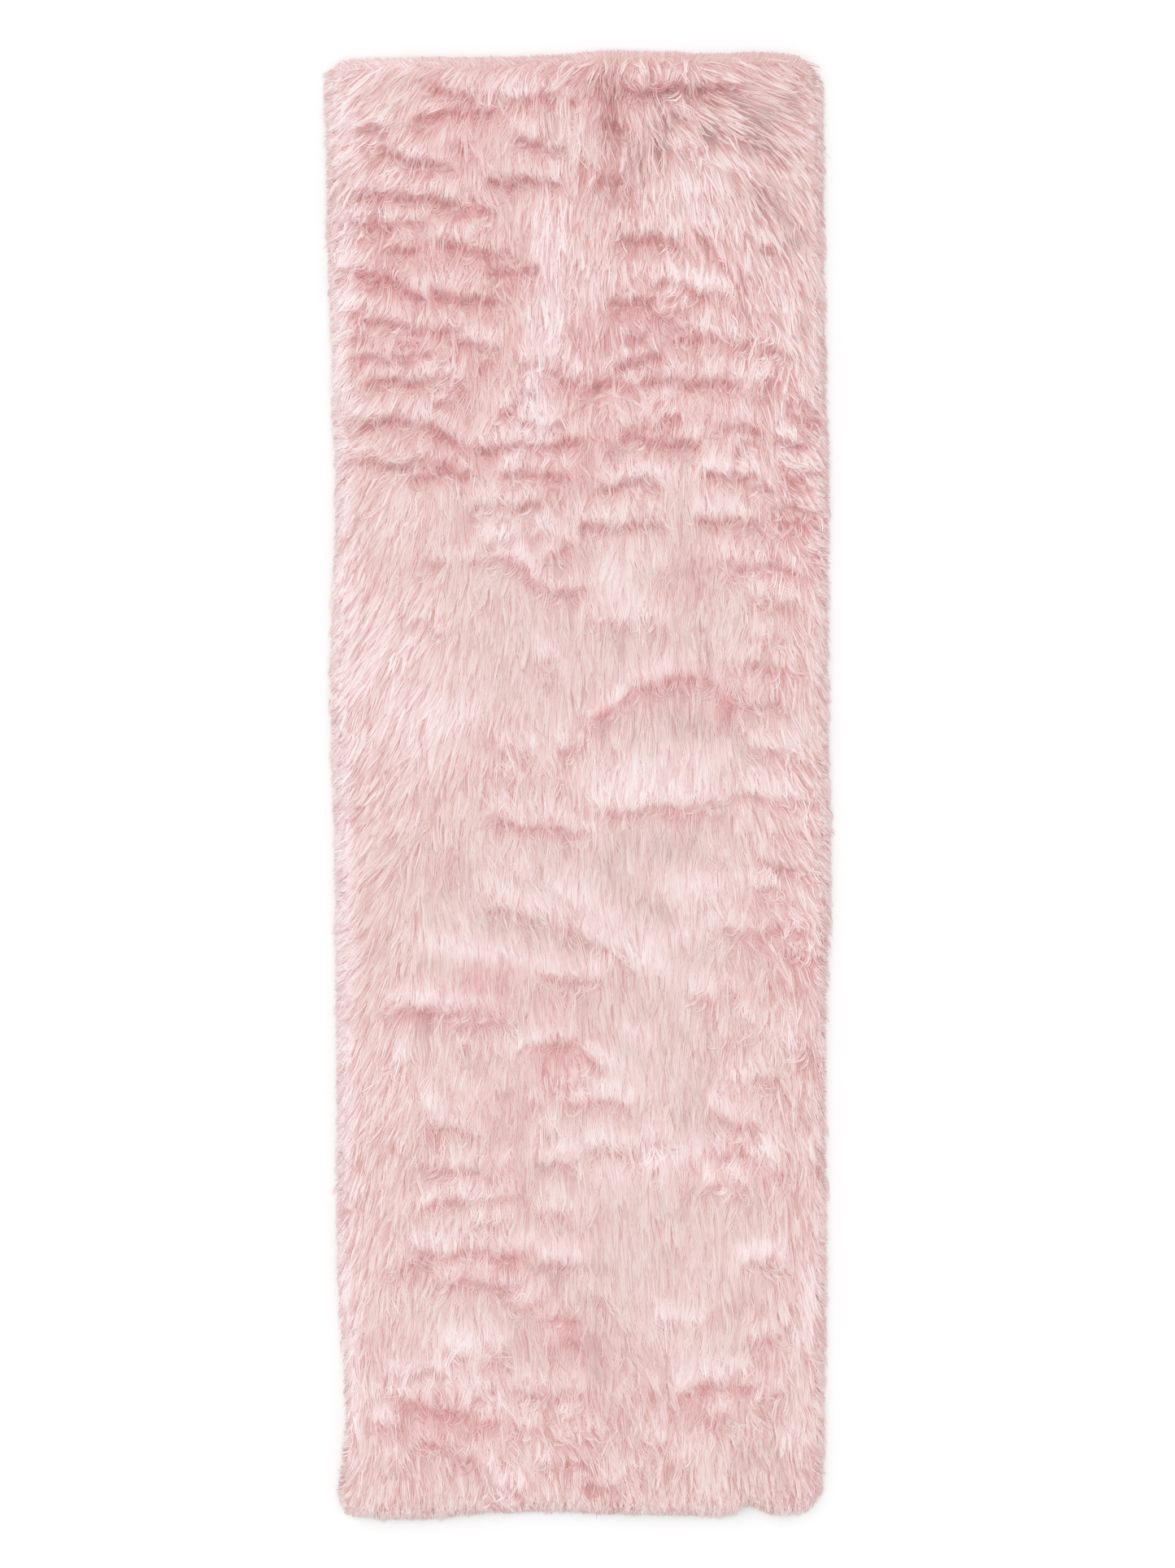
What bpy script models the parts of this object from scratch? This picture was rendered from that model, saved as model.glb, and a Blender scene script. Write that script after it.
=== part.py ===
# Shag rug: one cut of long-pile fabric, lying face up on the floor.
# Metres, +Z up, X across the rug, +Y towards the end that the pile is combed away from.
# The pile is a lumpy slab with puffs and creases, and its rim carries drooping locks.

import math
import random
from collections import namedtuple

import bmesh
import bpy
from mathutils import Vector, noise

MM = 0.001

# The rug's outline over its pile.
RUG_WIDTH = 618 * MM
RUG_LENGTH = 1824 * MM
CORNER_RADIUS = 30 * MM

# The pile's heights above the floor.
PILE_MEAN = 26 * MM
PILE_SWING = 12 * MM      # the most that puffs and creases raise or lower it
PUFF = 13 * MM            # how far a full fold's puff rises
DIP = 16 * MM             # how far the crease below it sinks
PUFF_RUN = 24 * MM        # how far up the rug the puff fades
DIP_RUN = 30 * MM         # how far down the rug the crease fades
CREASE_SOFTNESS = 5 * MM
FOLD_END = 1.25           # a fold dies out here, as a share of its half length
FOLD_FADE = 0.5           # over this share of it
PARTING_FADE = 40 * MM
LUMP_HEIGHT = 3.5 * MM
LUMP_PITCH = 55 * MM
SHOULDER_RUN = 42 * MM    # the pile drops to its rim over this distance
RIM_SHARE = 0.56          # the rim's height as a share of the pile's

# The slab's grid. Each cell at its rim carries one lock.
CELLS_ACROSS = 25
CELLS_ALONG = 104

# The locks at the rim.
LOCK_REACH = 24 * MM      # from the slab's wall to the rug's outline
LOCK_SWEEP = 15 * MM      # how far the tips at the sides are combed down the rug
LOCK_SHORTEST = 0.80      # the shortest lock's length as a share of the reach
LOCK_LONGEST = 1.04
LOCK_SEED = 7

PILE_PINK = (0.79, 0.55, 0.54, 1.0)  # linear
PILE_ROUGHNESS = 0.85
SHARP_ANGLE = math.radians(75)

Side = namedtuple("Side", "y left right")
End = namedtuple("End", "x top bottom")
Fold = namedtuple("Fold", "x y half_length tilt bow depth")
Parting = namedtuple("Parting", "x top bottom half_width depth")
Section = namedtuple("Section", "along width height")

# Where the long edges lie, in mm.
SIDES = [
    Side(912, -316, 303),
    Side(740, -315, 305),
    Side(500, -308, 308),
    Side(380, -304, 312),
    Side(135, -310, 311),
    Side(-110, -304, 314),
    Side(-350, -302, 308),
    Side(-594, -302, 309),
    Side(-776, -292, 307),
    Side(-912, -302, 304),
]

# Where the short ends lie, in mm. The lower one has a shallow notch at the right.
ENDS = [
    End(-310, 906, -915),
    End(-215, 909, -918),
    End(-93, 909, -910),
    End(-32, 911, -908),
    End(28, 916, -912),
    End(150, 914, -914),
    End(190, 914, -914),
    End(215, 915, -901),
    End(250, 915, -914),
    End(310, 906, -905),
]

# The creases where the pile folds over itself, in mm and degrees. Each has a puff of pile on its
# upper side. Tilt raises its right end, bow raises its middle, and depth is 1 for a full fold.
FOLDS = [
    Fold(115, 868, 54, 5, 0, 0.6),
    Fold(-150, 834, 58, 5, 4, 0.7),
    Fold(-48, 796, 36, -12, 0, 0.6),
    Fold(-205, 778, 56, -15, 0, 0.6),
    Fold(-68, 752, 50, -3, 0, 1.0),
    Fold(-172, 723, 72, -10, 4, 1.0),
    Fold(-240, 698, 52, 0, 0, 0.6),
    Fold(88, 676, 44, -4, 3, 0.9),
    Fold(-125, 664, 60, -12, 0, 0.6),
    Fold(-238, 622, 54, -20, 4, 0.9),
    Fold(140, 614, 50, -12, 3, 0.9),
    Fold(-142, 606, 46, -8, 0, 0.8),
    Fold(-232, 572, 48, -10, 0, 0.8),
    Fold(160, 554, 62, -4, 0, 0.6),
    Fold(-130, 545, 34, -5, 3, 0.7),
    Fold(75, 526, 34, 8, 3, 0.9),
    Fold(125, 499, 80, 0, 2, 0.8),
    Fold(-205, 500, 64, 0, 3, 0.8),
    Fold(-225, 450, 60, -5, 0, 1.0),
    Fold(-62, 422, 70, 4, 0, 1.0),
    Fold(100, 426, 54, -6, 3, 0.9),
    Fold(-205, 396, 76, -2, -3, 0.9),
    Fold(195, 384, 42, -5, 2, 0.7),
    Fold(50, 372, 48, 5, 4, 0.7),
    Fold(-90, 343, 50, 5, 3, 0.7),
    Fold(52, 321, 56, 3, 2, 1.0),
    Fold(190, 326, 46, -8, 2, 1.0),
    Fold(282, 338, 32, -8, 0, 0.8),
    Fold(-100, 274, 42, -4, 3, 1.0),
    Fold(-32, 244, 38, -10, 0, 0.9),
    Fold(225, 268, 54, -4, 2, 0.8),
    Fold(243, 226, 36, -8, 0, 0.7),
    Fold(55, 197, 60, 0, 2, 0.4),
    Fold(40, 98, 40, 25, 0, 0.9),
    Fold(112, 128, 46, 8, 4, 1.0),
    Fold(182, 112, 36, -50, 0, 0.8),
    Fold(235, 146, 36, 0, 0, 0.7),
    Fold(240, 40, 46, -12, 0, 0.6),
    Fold(-50, 38, 52, 4, 4, 0.5),
    Fold(-50, -54, 60, -8, 0, 1.0),
    Fold(105, -36, 76, 5, 2, 1.0),
    Fold(240, -18, 55, -5, 0, 0.8),
    Fold(258, -108, 42, -12, 0, 0.8),
    Fold(-20, -180, 92, -18, 0, 0.7),
    Fold(232, -188, 72, -3, 2, 1.0),
    Fold(-178, -276, 74, -6, -3, 1.0),
    Fold(-8, -247, 46, -5, 3, 0.8),
    Fold(-30, -328, 54, 2, 0, 0.9),
    Fold(10, -388, 54, -5, 3, 0.8),
    Fold(200, -420, 44, -20, 4, 0.8),
    Fold(45, -464, 84, -4, 3, 0.6),
    Fold(198, -478, 46, 2, 2, 1.0),
    Fold(-155, -484, 50, -8, 0, 0.7),
    Fold(-135, -524, 64, 2, 2, 0.7),
    Fold(-140, -588, 82, 0, 2, 1.0),
    Fold(-112, -626, 68, -6, 2, 0.9),
    Fold(-22, -604, 34, 0, 4, 0.6),
    Fold(230, -600, 34, 2, 0, 0.6),
    Fold(-25, -668, 30, 0, 0, 0.9),
    Fold(232, -692, 34, 15, 0, 0.6),
    Fold(-190, -738, 58, 0, 0, 0.5),
    Fold(188, -756, 70, 2, 3, 0.9),
    Fold(-165, -784, 68, -15, 0, 0.9),
    Fold(-158, -832, 52, -15, 0, 0.9),
    Fold(-20, -816, 62, -5, 0, 0.7),
    Fold(15, -874, 44, 0, 0, 0.7),
]

# Lines along the rug where the pile parts, in mm.
PARTINGS = [
    Parting(44, 905, 745, 13, 8),
    Parting(22, -530, -715, 12, 5),
]

# A lock past the slab's wall, as shares of its length and of its width and height at the wall.
# Its underside rests level on the floor.
LOCK_SECTIONS = [
    Section(0.46, 0.80, 0.72),
    Section(0.82, 0.42, 0.36),
]


def smooth(share):
    share = min(max(share, 0.0), 1.0)
    return share * share * (3 - 2 * share)


def between_rows(rows, key, column, position):
    # Reads a column of a table at a position that lies between two of its rows.
    rows = sorted(rows, key=lambda row: getattr(row, key))
    for low, high in zip(rows, rows[1:]):
        start, end = getattr(low, key), getattr(high, key)
        if position <= end or high is rows[-1]:
            share = smooth((position - start) / (end - start))
            return getattr(low, column) + share * (getattr(high, column) - getattr(low, column))


def rounded(x, y):
    # Draws the four square corners of the nominal rectangle onto arcs.
    over_x = abs(x) - (RUG_WIDTH / 2 - CORNER_RADIUS)
    over_y = abs(y) - (RUG_LENGTH / 2 - CORNER_RADIUS)
    if over_x <= 0 or over_y <= 0:
        return x, y
    shrink = 1 - max(over_x, over_y) / math.hypot(over_x, over_y)
    return x - math.copysign(over_x * shrink, x), y - math.copysign(over_y * shrink, y)


def place(across, along, inset):
    # A point of the rug from its shares of the width and the length, inset from the outline.
    x, y = rounded((across - 0.5) * RUG_WIDTH, (along - 0.5) * RUG_LENGTH)
    left = between_rows(SIDES, "y", "left", y / MM) * MM + inset
    right = between_rows(SIDES, "y", "right", y / MM) * MM - inset
    bottom = between_rows(ENDS, "x", "bottom", x / MM) * MM + inset
    top = between_rows(ENDS, "x", "top", x / MM) * MM - inset
    return Vector((
        left + (right - left) * (x / RUG_WIDTH + 0.5),
        bottom + (top - bottom) * (y / RUG_LENGTH + 0.5),
    ))


def fold_rise(fold, x, y):
    # How far one fold raises or lowers the pile at a point.
    turn = math.radians(fold.tilt)
    from_x, from_y = x - fold.x * MM, y - fold.y * MM
    along = (from_x * math.cos(turn) + from_y * math.sin(turn)) / (fold.half_length * MM)
    if abs(along) >= FOLD_END:
        return 0.0
    above = from_y * math.cos(turn) - from_x * math.sin(turn)
    above -= fold.bow * MM * (1 - along * along)
    upper = 0.5 + 0.5 * math.tanh(above / CREASE_SOFTNESS)
    rise = upper * PUFF * math.exp(-max(above, 0) / PUFF_RUN)
    sink = (1 - upper) * DIP * math.exp(min(above, 0) / DIP_RUN)
    return fold.depth * smooth((FOLD_END - abs(along)) / FOLD_FADE) * (rise - sink)


def parting_sink(parting, x, y):
    ends = min(parting.top * MM - y, y - parting.bottom * MM)
    if ends <= 0:
        return 0.0
    across = (x - parting.x * MM) / (parting.half_width * MM)
    return parting.depth * MM * smooth(ends / PARTING_FADE) * math.exp(-across * across)


def pile_height(x, y, to_rim):
    # The height of the combed pile at a point, to_rim metres in from the slab's wall.
    swing = sum(fold_rise(fold, x, y) for fold in FOLDS)
    swing -= sum(parting_sink(parting, x, y) for parting in PARTINGS)
    swing += LUMP_HEIGHT * noise.noise(Vector((x, y, 0)) / LUMP_PITCH)
    height = PILE_MEAN + PILE_SWING * math.tanh(swing / PILE_SWING)
    fall = 1 - min(to_rim / SHOULDER_RUN, 1)
    return height * (1 - (1 - RIM_SHARE) * fall * fall)


def pile_surface(cells):
    # The lumpy surface. It returns each point's shares of the width and the length.
    bmesh.ops.create_grid(cells, x_segments=CELLS_ACROSS, y_segments=CELLS_ALONG, size=0.5)
    shares = {}
    for point in cells.verts:
        across, along = point.co.x + 0.5, point.co.y + 0.5
        shares[point] = Vector((across, along))
        flat = place(across, along, LOCK_REACH)
        to_side = min(across, 1 - across) * RUG_WIDTH
        to_end = min(along, 1 - along) * RUG_LENGTH
        point.co = flat.to_3d()
        point.co.z = pile_height(flat.x, flat.y, min(to_side, to_end))
    return shares


def turn_round_rim(face):
    centre = face.calc_center_median()
    return math.atan2(centre.y / RUG_LENGTH, centre.x / RUG_WIDTH)


def rim_wall(cells):
    # A wall from the surface's rim to the floor, and the flat underside within it.
    # It returns the wall's faces in their order round the rim.
    rim = [edge for edge in cells.edges if edge.is_boundary]
    made = bmesh.ops.extrude_edge_only(cells, edges=rim)["geom"]
    for item in made:
        if isinstance(item, bmesh.types.BMVert):
            item.co.z = 0
    floor_edges = [edge for edge in cells.edges if edge.is_boundary]
    bmesh.ops.edgeloop_fill(cells, edges=floor_edges)
    faces = [item for item in made if isinstance(item, bmesh.types.BMFace)]
    return sorted(faces, key=turn_round_rim)


def drawn_out(cells, face, middle, ahead, section, root_width, root_height):
    # Extrudes a lock's end face to its next section.
    face = bmesh.ops.extrude_discrete_faces(cells, faces=[face])["faces"][0]
    side = Vector((-ahead.y, ahead.x))
    centre = sum((point.co.to_2d() for point in face.verts), Vector((0, 0))) / len(face.verts)
    half_height = sum(point.co.z for point in face.verts) / len(face.verts)
    for point in face.verts:
        hand = math.copysign(1, (point.co.to_2d() - centre).dot(side))
        flat = middle + side * hand * section.width * root_width / 2
        height = section.height * root_height if point.co.z > half_height else 0
        point.co = (flat.x, flat.y, height)
    return face


def add_lock(cells, face, shares, rng):
    # A lock of four sides, which bends from straight out to the way the pile is combed.
    top = [point for point in face.verts if point in shares]
    wall = (top[0].co.to_2d() + top[1].co.to_2d()) / 2
    root_width = (top[0].co.to_2d() - top[1].co.to_2d()).length
    root_height = (top[0].co.z + top[1].co.z) / 2
    outline = place(*(shares[top[0]] + shares[top[1]]) / 2, 0)
    out = (outline - wall).normalized()
    swept = Vector((0, -LOCK_SWEEP * abs(out.x)))
    tip = wall + (outline + swept - wall) * rng.uniform(LOCK_SHORTEST, LOCK_LONGEST)
    bend = wall + out * (outline - wall).length / 2
    for section in LOCK_SECTIONS:
        share = section.along
        middle = wall * (1 - share) ** 2 + bend * 2 * share * (1 - share) + tip * share ** 2
        ahead = ((bend - wall) * (1 - share) + (tip - bend) * share).normalized()
        face = drawn_out(cells, face, middle, ahead, section, root_width, root_height)
    point = bmesh.ops.poke(cells, faces=[face])["verts"][0]
    point.co = (tip.x, tip.y, 0)


def centre_on_origin(cells):
    # The origin is the middle of the rug's underside.
    for axis in (0, 1):
        ends = [point.co[axis] for point in cells.verts]
        middle = (min(ends) + max(ends)) / 2
        for point in cells.verts:
            point.co[axis] -= middle


def rug(collection):
    rng = random.Random(LOCK_SEED)
    cells = bmesh.new()
    shares = pile_surface(cells)
    for face in rim_wall(cells):
        add_lock(cells, face, shares, rng)
    centre_on_origin(cells)
    bmesh.ops.recalc_face_normals(cells, faces=cells.faces)
    mesh = bpy.data.meshes.new("rug")
    cells.to_mesh(mesh)
    cells.free()
    mesh.materials.append(pile_material())
    mesh.shade_smooth()
    mesh.set_sharp_from_angle(angle=SHARP_ANGLE)
    collection.objects.link(bpy.data.objects.new("rug", mesh))


def pile_material():
    material = bpy.data.materials.new("shag_pile")
    material.use_nodes = True
    shader = material.node_tree.nodes["Principled BSDF"]
    shader.inputs["Base Color"].default_value = PILE_PINK
    shader.inputs["Roughness"].default_value = PILE_ROUGHNESS
    shader.inputs["Metallic"].default_value = 0.0
    return material


def main():
    for item in list(bpy.data.objects):
        bpy.data.objects.remove(item)
    rug_parts = bpy.data.collections.new("shag_rug")
    bpy.context.scene.collection.children.link(rug_parts)
    rug(rug_parts)


main()
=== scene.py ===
import math

import bpy
import numpy as np
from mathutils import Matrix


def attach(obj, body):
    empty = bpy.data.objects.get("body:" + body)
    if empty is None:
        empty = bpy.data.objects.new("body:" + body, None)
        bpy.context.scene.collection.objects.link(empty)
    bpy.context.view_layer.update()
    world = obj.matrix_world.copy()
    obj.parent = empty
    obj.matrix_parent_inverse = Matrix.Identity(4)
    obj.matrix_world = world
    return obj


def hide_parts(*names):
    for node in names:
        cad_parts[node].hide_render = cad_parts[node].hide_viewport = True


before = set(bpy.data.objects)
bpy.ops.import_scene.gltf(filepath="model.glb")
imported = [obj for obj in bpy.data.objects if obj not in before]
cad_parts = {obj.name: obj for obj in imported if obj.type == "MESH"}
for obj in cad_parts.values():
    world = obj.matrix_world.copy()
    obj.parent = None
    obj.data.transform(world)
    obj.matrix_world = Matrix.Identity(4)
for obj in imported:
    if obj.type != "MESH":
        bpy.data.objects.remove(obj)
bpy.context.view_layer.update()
mm = 0.001
tiny = 1e-6  # keeps divisions from nought
farOff = 1e3  # mm, where there is nothing to meet

# the rug's plan, in mm, as the part's solid has it
rug = {
    "width": 618, "length": 1824, "cornerRadius": 30,
    "shiftX": 1.0, "shiftY": 0.5,  # from the tables' middle to the frame's
    "seed": 11,
}

# y, left edge, right edge
sides = np.array([
    (-912, -302, 304), (-776, -292, 307), (-594, -302, 309), (-350, -302, 308), (-110, -304, 314),
    (135, -310, 311), (380, -304, 312), (500, -308, 308), (740, -315, 305), (912, -316, 303),
], float)

# x, top edge, bottom edge
ends = np.array([
    (-310, 906, -915), (-215, 909, -918), (-93, 909, -910), (-32, 911, -908), (28, 916, -912),
    (150, 914, -914), (190, 914, -914), (215, 915, -901), (250, 915, -914), (310, 906, -905),
], float)
leftEdge, rightEdge, topEdge, bottomEdge = 1, 2, 1, 2  # columns of the two tables

# creases where the pile folds over itself: x, y, half length, tilt, bow, depth
folds = [
    (130, 868, 78, 2, 0, 1.0), (-155, 860, 30, -10, 0, 0.6), (-60, 853, 75, 0, 0, 0.4),
    (-150, 834, 58, 5, 4, 0.7), (-48, 796, 36, -12, 0, 0.7), (-205, 778, 56, -15, 0, 0.7),
    (-68, 752, 50, -3, 0, 1.0), (-172, 723, 72, -10, 4, 1.0), (-262, 735, 30, 5, 0, 0.7),
    (-240, 698, 52, 0, 0, 0.7), (88, 676, 44, -4, 3, 0.9), (168, 662, 32, -50, 0, 0.5),
    (-125, 664, 60, -12, 0, 0.7), (-80, 640, 34, 0, 0, 0.9), (-238, 622, 54, -20, 4, 0.9),
    (140, 614, 50, -12, 3, 0.9), (-142, 606, 46, -8, 0, 0.9), (70, 600, 36, 0, 0, 0.5),
    (-232, 572, 48, -10, 0, 0.8), (-165, 566, 24, 10, 0, 0.8), (125, 570, 36, -25, 0, 0.6),
    (160, 554, 62, -4, 0, 0.5), (-130, 545, 34, -5, 3, 0.8), (-235, 532, 55, 3, 0, 0.8),
    (75, 526, 34, 8, 3, 0.9), (-50, 518, 28, 0, 4, 0.5), (125, 499, 80, 0, 2, 0.8),
    (-205, 500, 64, 0, 3, 0.8), (-240, 452, 48, -3, 0, 0.9), (-165, 432, 32, -32, 0, 0.9),
    (-47, 452, 35, 0, -6, 0.8), (90, 444, 45, 5, 0, 0.5), (200, 443, 32, -8, 0, 0.6),
    (-62, 422, 70, 4, 0, 1.0), (100, 426, 54, -6, 3, 0.9), (-215, 402, 68, -2, -3, 0.9),
    (-172, 385, 42, 3, 3, 0.8), (-58, 383, 48, 0, 3, 0.6), (188, 383, 36, -5, 2, 0.7),
    (62, 372, 42, 5, 4, 0.8), (285, 385, 28, 20, 0, 0.6), (-90, 343, 50, 5, 3, 0.7),
    (52, 321, 56, 3, 2, 1.0), (190, 326, 46, -8, 2, 1.0), (282, 338, 32, -8, 0, 0.8),
    (-100, 300, 26, 12, 0, 0.6), (-25, 290, 24, 25, 0, 0.6), (-105, 276, 36, 0, 3, 1.0),
    (-62, 258, 25, -42, 0, 0.9), (-22, 241, 30, 0, 0, 0.9), (225, 268, 54, -4, 2, 0.8),
    (-175, 270, 18, 0, 3, 0.5), (243, 227, 36, -8, 0, 0.7), (55, 197, 60, 0, 2, 0.4),
    (-182, 184, 20, 0, 3, 0.5), (235, 178, 26, 0, 0, 0.5), (38, 92, 40, 34, 0, 0.7),
    (105, 122, 46, 10, 5, 0.75), (178, 112, 34, -50, 0, 0.7), (235, 146, 34, 0, 0, 0.7),
    (-38, 150, 16, 0, 3, 0.5), (228, 98, 28, 3, 0, 0.6), (245, 38, 42, -12, 0, 0.6),
    (-78, 36, 24, 8, 5, 0.6), (-10, 40, 20, 0, 4, 0.6), (-45, -55, 66, -8, 0, 0.75),
    (105, -32, 78, 5, 2, 0.8), (238, -18, 55, -5, 0, 0.8), (262, -105, 38, -12, 0, 0.8),
    (235, -134, 22, -10, 0, 0.6), (-80, -162, 40, -10, 0, 0.6), (25, -200, 50, -22, 0, 0.6),
    (230, -187, 72, -3, 2, 0.6), (280, -215, 28, -15, 0, 0.5), (-170, -282, 74, -4, -3, 0.75),
    (-10, -246, 42, -5, 3, 0.8), (-120, -300, 40, 0, 0, 0.7), (-40, -325, 42, 8, 0, 0.9),
    (20, -345, 30, -30, 0, 0.6), (-10, -378, 25, 0, 0, 0.8), (20, -400, 50, 0, 3, 0.7),
    (215, -370, 35, 10, 0, 0.6), (195, -425, 36, -25, 0, 0.8), (-165, -428, 30, -20, 0, 0.6),
    (205, -468, 36, 0, 2, 0.9), (45, -462, 38, -5, 3, 0.6), (-30, -476, 30, 0, 3, 0.6),
    (-155, -482, 42, -8, 0, 0.7), (185, -502, 30, 0, 0, 0.8), (-140, -522, 60, 2, 2, 0.7),
    (-30, -540, 28, -8, 4, 0.4), (-140, -588, 80, 0, 2, 1.0), (-125, -624, 58, -6, 2, 0.9),
    (-20, -602, 32, 0, 4, 0.7), (-62, -650, 25, 0, 0, 0.6), (-25, -668, 26, 0, 0, 0.9),
    (230, -600, 32, 2, 0, 0.6), (235, -690, 30, 15, 0, 0.6), (-200, -738, 50, 0, 0, 0.5),
    (165, -755, 45, 8, 4, 0.9), (230, -756, 30, -5, 0, 0.8), (-55, -760, 30, -15, 0, 0.5),
    (-165, -782, 65, -15, 0, 0.9), (-165, -828, 45, -15, 0, 0.9), (-72, -806, 24, 0, 3, 0.6),
    (0, -820, 35, -5, 0, 0.7), (-10, -848, 40, 0, 0, 0.6), (30, -876, 26, 0, 0, 0.8),
    (-90, -880, 30, -15, 0, 0.6), (170, -790, 20, 0, 0, 0.6),
]

# patches of short uneven tufts: x, y, half width, half length, how many, depth
tufts = [
    (-200, 640, 110, 250, 30, 0.6), (-20, 400, 120, 160, 16, 0.5), (150, 560, 130, 130, 18, 0.5),
    (230, 300, 80, 160, 14, 0.5), (-100, -20, 160, 130, 12, 0.3), (230, -200, 80, 150, 12, 0.5),
    (-150, -480, 130, 180, 16, 0.4), (180, -440, 100, 100, 10, 0.4), (-120, -800, 150, 100, 16, 0.5),
    (120, -760, 180, 130, 18, 0.4), (60, 800, 100, 90, 8, 0.4), (0, 0, 290, 880, 30, 0.25),
]
tuftCrease = {"half": (9, 24), "tiltSpread": 16, "bow": (-1, 5), "depth": (0.5, 1.3)}  # of one short tuft

# how the pile is combed: x, y, half width, half length, heading, weight. 270 is down the rug
combing = [
    (-300, 850, 110, 70, 200, 2.2), (-300, 740, 70, 90, 222, 1.8), (-300, 600, 60, 90, 205, 1.2),
    (-300, 430, 90, 50, 186, 1.6), (-300, 320, 90, 60, 232, 1.8), (-290, 200, 110, 80, 228, 2.0),
    (-280, 80, 120, 90, 226, 1.6), (-300, -60, 70, 90, 205, 1.6), (-300, -200, 60, 80, 200, 1.2),
    (-300, -330, 60, 80, 225, 1.4), (-280, -470, 70, 90, 238, 1.6), (-280, -620, 70, 80, 245, 1.2),
    (-300, -880, 50, 50, 220, 1.2), (230, 860, 80, 30, 10, 2.0), (260, 820, 110, 40, 342, 2.6),
    (250, 750, 90, 60, 318, 1.8), (260, 660, 90, 70, 305, 1.4), (290, 560, 50, 60, 318, 0.8),
    (300, 400, 50, 80, 330, 1.6), (310, 300, 50, 60, 318, 1.2), (300, 180, 50, 90, 300, 1.0),
    (280, 30, 70, 50, 325, 1.2), (290, -90, 60, 60, 322, 1.6), (300, -190, 50, 50, 335, 1.2),
    (290, -400, 60, 120, 292, 0.8), (290, -680, 60, 120, 296, 0.8), (260, -860, 90, 60, 292, 0.7),
    (-40, -180, 90, 40, 300, 0.9), (30, -300, 60, 90, 300, 0.7), (20, 700, 25, 180, 262, 0.5),
    (30, -740, 60, 120, 296, 0.7), (120, -250, 60, 60, 250, 0.5), (-110, -160, 60, 50, 292, 0.6),
]


def smooth(share):
    share = np.clip(share, 0, 1)
    return share * share * (3 - 2 * share)


def readTable(table, column, at):
    keys, values = table[:, 0], table[:, column]
    low = np.clip(np.searchsorted(keys, at) - 1, 0, len(keys) - 2)
    share = smooth((at - keys[low]) / (keys[low + 1] - keys[low]))
    return values[low] + share * (values[low + 1] - values[low])


def spot(x, y, cx, cy, halfWidth, halfLength):
    # 1 in the middle of a soft patch, fading outwards
    return np.exp(-((x - cx) / halfWidth) ** 2 - ((y - cy) / halfLength) ** 2)


def placeOnRug(across, along, inset):
    # from shares of width and length to a point, inset from the outline, with rounded corners
    x, y = (across - 0.5) * rug["width"], (along - 0.5) * rug["length"]
    overX = np.abs(x) - (rug["width"] / 2 - rug["cornerRadius"])
    overY = np.abs(y) - (rug["length"] / 2 - rug["cornerRadius"])
    corner = (overX > 0) & (overY > 0)
    far = np.maximum(np.hypot(overX, overY), tiny)
    shrink = np.where(corner, 1 - np.maximum(overX, overY) / far, 0)
    x, y = x - np.sign(x) * overX * shrink, y - np.sign(y) * overY * shrink
    left, right = readTable(sides, leftEdge, y) + inset, readTable(sides, rightEdge, y) - inset
    bottom, top = readTable(ends, bottomEdge, x) + inset, readTable(ends, topEdge, x) - inset
    shareX, shareY = x / rug["width"] + 0.5, y / rug["length"] + 0.5
    return left + (right - left) * shareX, bottom + (top - bottom) * shareY


def fromEdge(x, y):
    # distance in from the outline, and the way out to it
    toSides = np.stack([x - readTable(sides, leftEdge, y), readTable(sides, rightEdge, y) - x])
    toEnds = np.stack([y - readTable(ends, bottomEdge, x), readTable(ends, topEdge, x) - y])
    a, b = toSides.min(0), toEnds.min(0)
    outX = np.where(toSides[0] < toSides[1], -1.0, 1.0)
    outY = np.where(toEnds[0] < toEnds[1], -1.0, 1.0)
    r = rug["cornerRadius"]
    corner = (a < r) & (b < r)
    far = np.maximum(np.hypot(r - a, r - b), tiny)
    away = np.where(corner, r - far, np.minimum(a, b))
    nx = np.where(corner, outX * (r - a) / far, np.where(a < b, outX, 0))
    ny = np.where(corner, outY * (r - b) / far, np.where(a < b, 0, outY))
    return away, nx, ny


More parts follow.
